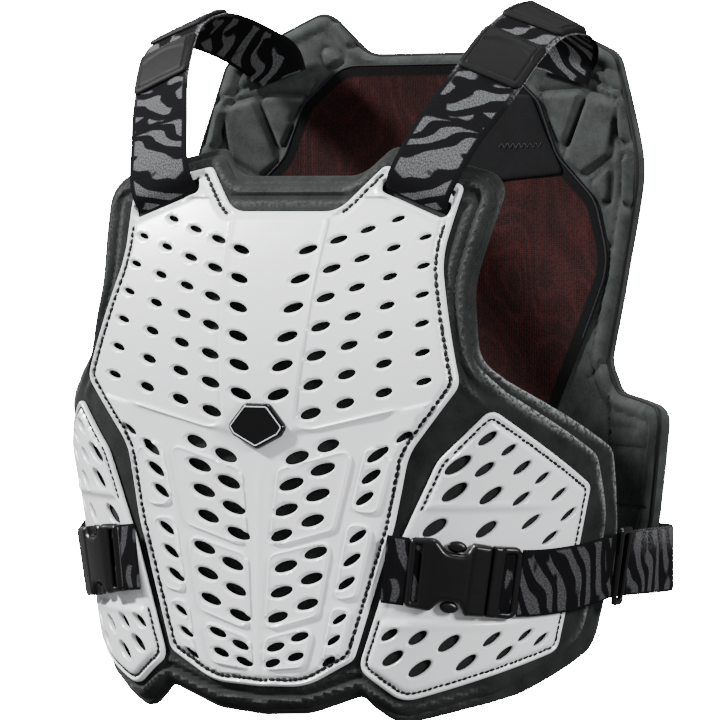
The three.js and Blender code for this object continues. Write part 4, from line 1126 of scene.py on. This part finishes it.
class Route:
    """A strap's surface along its route: along, across, deep."""

    def __init__(self, centres, widths, flip):
        t = np.linspace(0, 1, 1600)
        self.centre, self.width = self.curve(centres, t), self.curve(widths, t)
        self.along, self.flip = lengths_along(self.centre), -1.0 if flip else 1.0
        self.length = self.along[-1]
        self.tangent = np.gradient(self.centre, axis=0)

    @staticmethod
    def curve(points, t):
        """A smooth curve through points, with no overshoot where their spacing changes."""
        p = np.array(points, float)
        p = np.vstack([2 * p[0] - p[1], p, 2 * p[-1] - p[-2]])
        spans = len(p) - 3
        at = np.clip(t * spans, 0, spans - 1e-9)
        i, w = at.astype(int), (at - at.astype(int))[:, None]
        x0, x1, x2, x3 = (p[i + k] for k in range(4))
        reach = lambda a, b: np.maximum(np.linalg.norm(b - a, axis=1) ** 0.5, 1e-4)[:, None]
        d0, d1, d2 = reach(x0, x1), reach(x1, x2), reach(x2, x3)
        m1 = ((x1 - x0) / d0 - (x2 - x0) / (d0 + d1) + (x2 - x1) / d1) * d1
        m2 = ((x2 - x1) / d1 - (x3 - x1) / (d1 + d2) + (x3 - x2) / d2) * d1
        return x1 + m1 * w + (3 * (x2 - x1) - 2 * m1 - m2) * w**2 + (2 * (x1 - x2) + m1 + m2) * w**3

    def __call__(self, along, across, deep):
        along, across, deep = np.broadcast_arrays(*(np.asarray(v, float) for v in (along, across, deep)))
        pick = lambda rows: np.stack([np.interp(along, self.along, rows[:, k]) for k in range(3)], -1)
        centre, tangent, width = pick(self.centre), pick(self.tangent), pick(self.width)
        tangent /= np.linalg.norm(tangent, axis=-1, keepdims=True)
        width -= tangent * (width * tangent).sum(-1, keepdims=True)
        width /= np.linalg.norm(width, axis=-1, keepdims=True)
        inward = np.cross(tangent, width) * self.flip
        return centre + width * across[..., None] + inward * deep[..., None]


# Shoulder strap's middle line: shares of the plate's half width, of the way to the back and of the
# shoulders' height, and the outward fall of its width in degrees
SHOULDER = [
    (0.674, 0.186, 0.5565, 21), (0.697, 0.171, 0.588, 21), (0.731, 0.184, 0.635, 21),
    (0.793, 0.249, 0.73, 23), (0.878, 0.343, 0.833, 25), (0.946, 0.456, 0.94, 22),
    (0.978, 0.53, 0.985, 20), (0.985, 0.62, 1.006, 23), (0.98, 0.715, 1.01, 26),
    (0.94, 0.82, 0.993, 24), (0.88, 0.9, 0.963, 20), (0.82, 0.944, 0.93, 17), (0.79, 0.951, 0.88, 16),
]
# Waist strap's middle line: shares of the side plate's reach and drop, then of the back's half width
WAIST_SIDE = [
    (-0.05, -0.505), (0.2, -0.525), (0.45, -0.548), (0.68, -0.562), (0.92, -0.553), (1.14, -0.53),
    (1.27, -0.518),
]
WAIST_BACK = [1.14, 1.02, 0.9, 0.78, 0.64, 0.5]
WAIST_BACK_UP, WAIST_SIDE_DEEP, WAIST_BACK_DEEP = -0.49, -6.8, -17.55
SHOULDER_WIDTH, SHOULDER_WALL = 55, 2.5
WAIST_WIDTH, WAIST_WALL = 50, 2.2


def shoulder_route(s):
    centres = [(s * a * PLATE_HALF, b * BACK_AWAY, c * SHOULDERS[2]) for a, b, c, _ in SHOULDER]
    widths = [(s * math.cos(math.radians(f)), 0, -math.sin(math.radians(f))) for *_, f in SHOULDER]
    return Route(centres, widths, s < 0)


def waist_route(s):
    centres, widths = [], []
    side = np.array([s, 1, 1])
    spots = [(flank, a * SIDE_REACH, b * SIDE_DROP, WAIST_SIDE_DEEP) for a, b in WAIST_SIDE]
    spots += [(rear, a * BACK_HALF, WAIST_BACK_UP * BACK_DROP, WAIST_BACK_DEEP) for a in WAIST_BACK]
    for surface, u, z, deep in spots:
        low, high = surface(u, z, deep), surface(u, z + WAIST_WIDTH / 2, deep)
        centres.append(low * side)
        widths.append((high - low) * side)
    return Route(centres, widths, s > 0)


def woven_band(name, route, start, end, width, wall, spacing=2.2, across=22, pale=None):
    """A woven strap: rounded edges, a slight crown and faint puckers across it."""
    stations = np.linspace(start, end, max(3, int((end - start) / spacing)))
    v = np.linspace(-1, 1, across)
    v = np.sign(v) * np.abs(v) ** 0.8
    half = wall / 2 * (1 - 0.72 * np.abs(v) ** 14) + 0.12 * bump(np.abs(v), 0.93, 0.05)
    faced = np.stack([v * width / 2, -half], -1)
    around = np.vstack([faced, faced[::-1] * (1, -1)])
    n, m = len(stations), len(around)
    along = np.repeat(stations, m)
    side = np.tile(around[:, 0], n)
    deep = np.tile(around[:, 1], n)
    deep = deep + 0.1 * np.sin(along / 3.1 + 0.4 * np.sin(side / 9)) * np.cos(side / 21)
    flat = np.stack([along, side], -1)
    return make_mesh(name, route(along, side, deep), skin(n, m), flat, pale(flat) if pale else None, 60)


def pad_outline(length, width, radius):
    """A rounded rectangle round the middle."""
    a, b = length / 2, width / 2
    return ring([(-a, -b, radius), (a, -b, radius), (a, b, radius), (-a, b, radius)], 8)


def tab_mesh(name, route, place, clear, lip):
    """A soft tab round a shoulder strap: a raised field with a moulded arch, and a lip on the top one."""
    centre = place * route.length
    loop = pad_outline(44, SHOULDER_WIDTH, 6)
    outer = SHOULDER_WALL / 2 + clear

    def height(p):
        s = inside_by(p, loop)
        h = outer + 0.9 + 2.0 * step(s, -3, 6) - 0.9 * fall(s, 1.3)
        h -= 1.1 * bump(s, 5.0, 0.7)
        arch = p[:, 0] - 12 + (p[:, 1] / 27) ** 2 * 9
        h += 0.9 * step(arch, -1.2, 1.2) * step(s, 1.5, 4)
        h -= lip * 0.7 * bump(p[:, 0], 3, 1.0) * step(s, 4, 6)
        return h + 0.25 * bump(p[:, 1], 0, 16)

    surface = lambda a, b, deep: route(a + centre, b, deep)
    return shell(name, loop, surface, height, -1.45, 1.5, rings=BUCKLE_RINGS)


# Ends of the buckle's frame and of the short front strap, along the route
MALE_END, FRONT_END = 101.7, 17
BUCKLE_RINGS = (0, 0.4, 1.0, 1.9)


def buckle_side(word, route):
    """A side-release buckle: the body with its finger cut-outs, the prongs' pads in them, and the frame."""
    half = [(17.5, -25.5, 4), (37, -26.8, 7), (44.5, -17.6, 8), (58.5, -17.6, 7)]
    half += [(62.5, -26.8, 2), (77.2, -26.2, 1.2)]
    body = ring(half + [(x, -y, r) for x, y, r in half[::-1]], 8)
    slit = pad_outline(5, 44, 1.2) + (24.85, 0)

    def domed(p):
        s = inside_by(p, body)
        h = 5.2 - 2.6 * fall(s, 3) - 1.0 * (1 - step(p[:, 0], 28, 36))
        h += 0.5 * step(p[:, 0], 62, 64.5) - 0.5 * bump(p[:, 0], 62.5, 0.7) * step(s, 1, 2.5)
        return h - 0.9 * fall(-inside_by(p, slit), 1.3)

    under = lambda p: 5.0 - 2.4 * fall(inside_by(p, body), 3)
    body_look = {"rings": (*BUCKLE_RINGS, 2.9), "slots": [slit]}
    mesh = shell(f"buckle_body_{word}", body, route, domed, under, 1.5, **body_look)
    link(mesh, black_plastic, [f"buckle_female_{word}"])
    for place, k in (("high", 1), ("low", -1)):
        oval = ellipse((51.3, 22.4 * k, 7.0, 4.3, 0), 0, 40)
        pad = lambda p: 1.5 - 1.5 * fall(inside_by(p, oval), 2.6)
        mesh = shell(f"buckle_pad_{word}_{place}", oval, route, pad, 2.4, 1.0, rings=BUCKLE_RINGS[:3])
        link(mesh, black_plastic, [f"buckle_male_{word}"])
    ends = [(77.9, -26.2, 1.5), (98, -26.8, 6), (101.5, -22, 4)]
    outer = ring(ends + [(x, -y, r) for x, y, r in ends[::-1]], 8)
    gap = pad_outline(9, 44, 1.5) + (92.2, 0)

    def framed(p):
        h = 3.1 - 1.6 * fall(inside_by(p, outer), 2) + 1.3 * (1 - step(p[:, 0], 84, 87))
        return h - 1.0 * fall(-inside_by(p, gap), 1.3)

    frame_look = {"rings": BUCKLE_RINGS, "slots": [gap]}
    mesh = shell(f"buckle_frame_{word}", outer, route, framed, 2.6, 1.4, **frame_look)
    link(mesh, black_plastic, [f"buckle_male_{word}"])


def slider(word, route, at_):
    """A slider's frame, through which the strap passes."""
    outer = pad_outline(13, 60, 3.5) + (at_, 0)
    window = pad_outline(6.5, 51, 1.5) + (at_, 0)
    height = lambda p: 6.0 - 1.3 * fall(inside_by(p, outer), 1.5) - 1.0 * fall(-inside_by(p, window), 1.2)
    look = {"rings": (0, 0.3, 0.8, 1.4), "slots": [window]}
    mesh = shell(f"slider_frame_{word}", outer, route, height, -2.1, 1.1, **look)
    link(mesh, black_plastic, [f"slider_{word}"])


def shoulder_pale(p):
    """The strap's pale worn edges where it rises to the shoulder."""
    edges = bump(np.abs(p[:, 1]), SHOULDER_WIDTH / 2, 2.4)
    return edges * step(p[:, 0], 95, 120) * (1 - step(p[:, 0], 200, 230))


# Tabs of a shoulder strap: name, share of the strap's length, clearance and lip
TABS = [("front", 0.44, 0.4, 0), ("top", 0.64, 0.95, 1)]
# Stretches of webbing that show in the buckle's slots: name, start and end
LOOPS = [("loop_front", 22.6, 27.1), ("loop_back", 88.0, 96.4)]
LOOP_WIDTH = 43.0
SLIDER_SHARE = 0.47

for word, s in (("left", 1), ("right", -1)):
    route = shoulder_route(s)
    band = (SHOULDER_WIDTH, SHOULDER_WALL)
    mesh = woven_band(f"shoulder_elastic_{word}", route, 0.2, route.length, *band, pale=shoulder_pale)
    link(mesh, shoulder_cloth, [f"shoulder_strap_{word}"])
    for where, share, clear, lip in TABS:
        mesh = tab_mesh(f"tab_{where}_{word}", route, share, clear, lip)
        link(mesh, tab_rubber, [f"shoulder_tab_{where}_{word}"])

    route = waist_route(s)
    band = (WAIST_WIDTH, WAIST_WALL)
    mesh = woven_band(f"waist_elastic_front_{word}", route, 0, FRONT_END, *band, 1.0)
    link(mesh, waist_cloth, [f"waist_strap_front_{word}"])
    slider_at = SLIDER_SHARE * route.length
    frayed = lambda p: 0.4 * step(p[:, 1], 2, 24) * step(p[:, 0], slider_at + 6, slider_at + 30)
    start = MALE_END + 0.35
    mesh = woven_band(f"waist_elastic_back_{word}", route, start, route.length, *band, pale=frayed)
    link(mesh, waist_cloth, [f"waist_strap_back_{word}"])
    for name, start, end in LOOPS:
        mesh = woven_band(f"waist_{name}_{word}", route, start, end, LOOP_WIDTH, WAIST_WALL, 1.0)
        link(mesh, waist_cloth, [])
    buckle_side(word, route)
    slider(word, route, slider_at)

# Stage and light: the camera sees plain white, and the world lights the vest weakly
WORLD_LIGHT, WORLD_SEEN = 0.34, 60.0
world = bpy.data.worlds.new("studio")
bpy.context.scene.world = world
world.use_nodes = True
tree = world.node_tree
sky = tree.nodes["Background"]
sky.inputs["Color"].default_value = (1, 1, 1, 1)
sky.inputs["Strength"].default_value = WORLD_LIGHT
seen = tree.nodes.new("ShaderNodeBackground")
seen.inputs["Strength"].default_value = WORLD_SEEN
rays = tree.nodes.new("ShaderNodeLightPath")
blend = tree.nodes.new("ShaderNodeMixShader")
tree.links.new(rays.outputs["Is Camera Ray"], blend.inputs[0])
tree.links.new(sky.outputs[0], blend.inputs[1])
tree.links.new(seen.outputs[0], blend.inputs[2])
tree.links.new(blend.outputs[0], tree.nodes["World Output"].inputs[0])


def lamp(name, place, target, size, watts):
    """A round area light, aimed at a point of the vest."""
    data = bpy.data.lights.new(name, "AREA")
    data.shape, data.size, data.energy = "DISK", size, watts
    obj = bpy.data.objects.new(name, data)
    bpy.context.collection.objects.link(obj)
    obj.location = place
    obj.rotation_euler = (Vector(target) - Vector(place)).to_track_quat("-Z", "Y").to_euler()


# Lights: name, place and target in metres, size and watts
LIGHTS = [
    ("key", (-2.3, -1.5, 1.75), (0, -0.1, -0.25), 0.4, 300),
    ("fill", (2.9, -1.3, 0.7), (0.1, -0.05, -0.3), 0.8, 125),
    ("top", (0.4, 0.1, 2.4), (0, 0, -0.2), 1.0, 52),
    ("rear", (-1.8, 1.9, 1.2), (0, 0.05, -0.2), 1.6, 26),
]
for light in LIGHTS:
    lamp(*light)
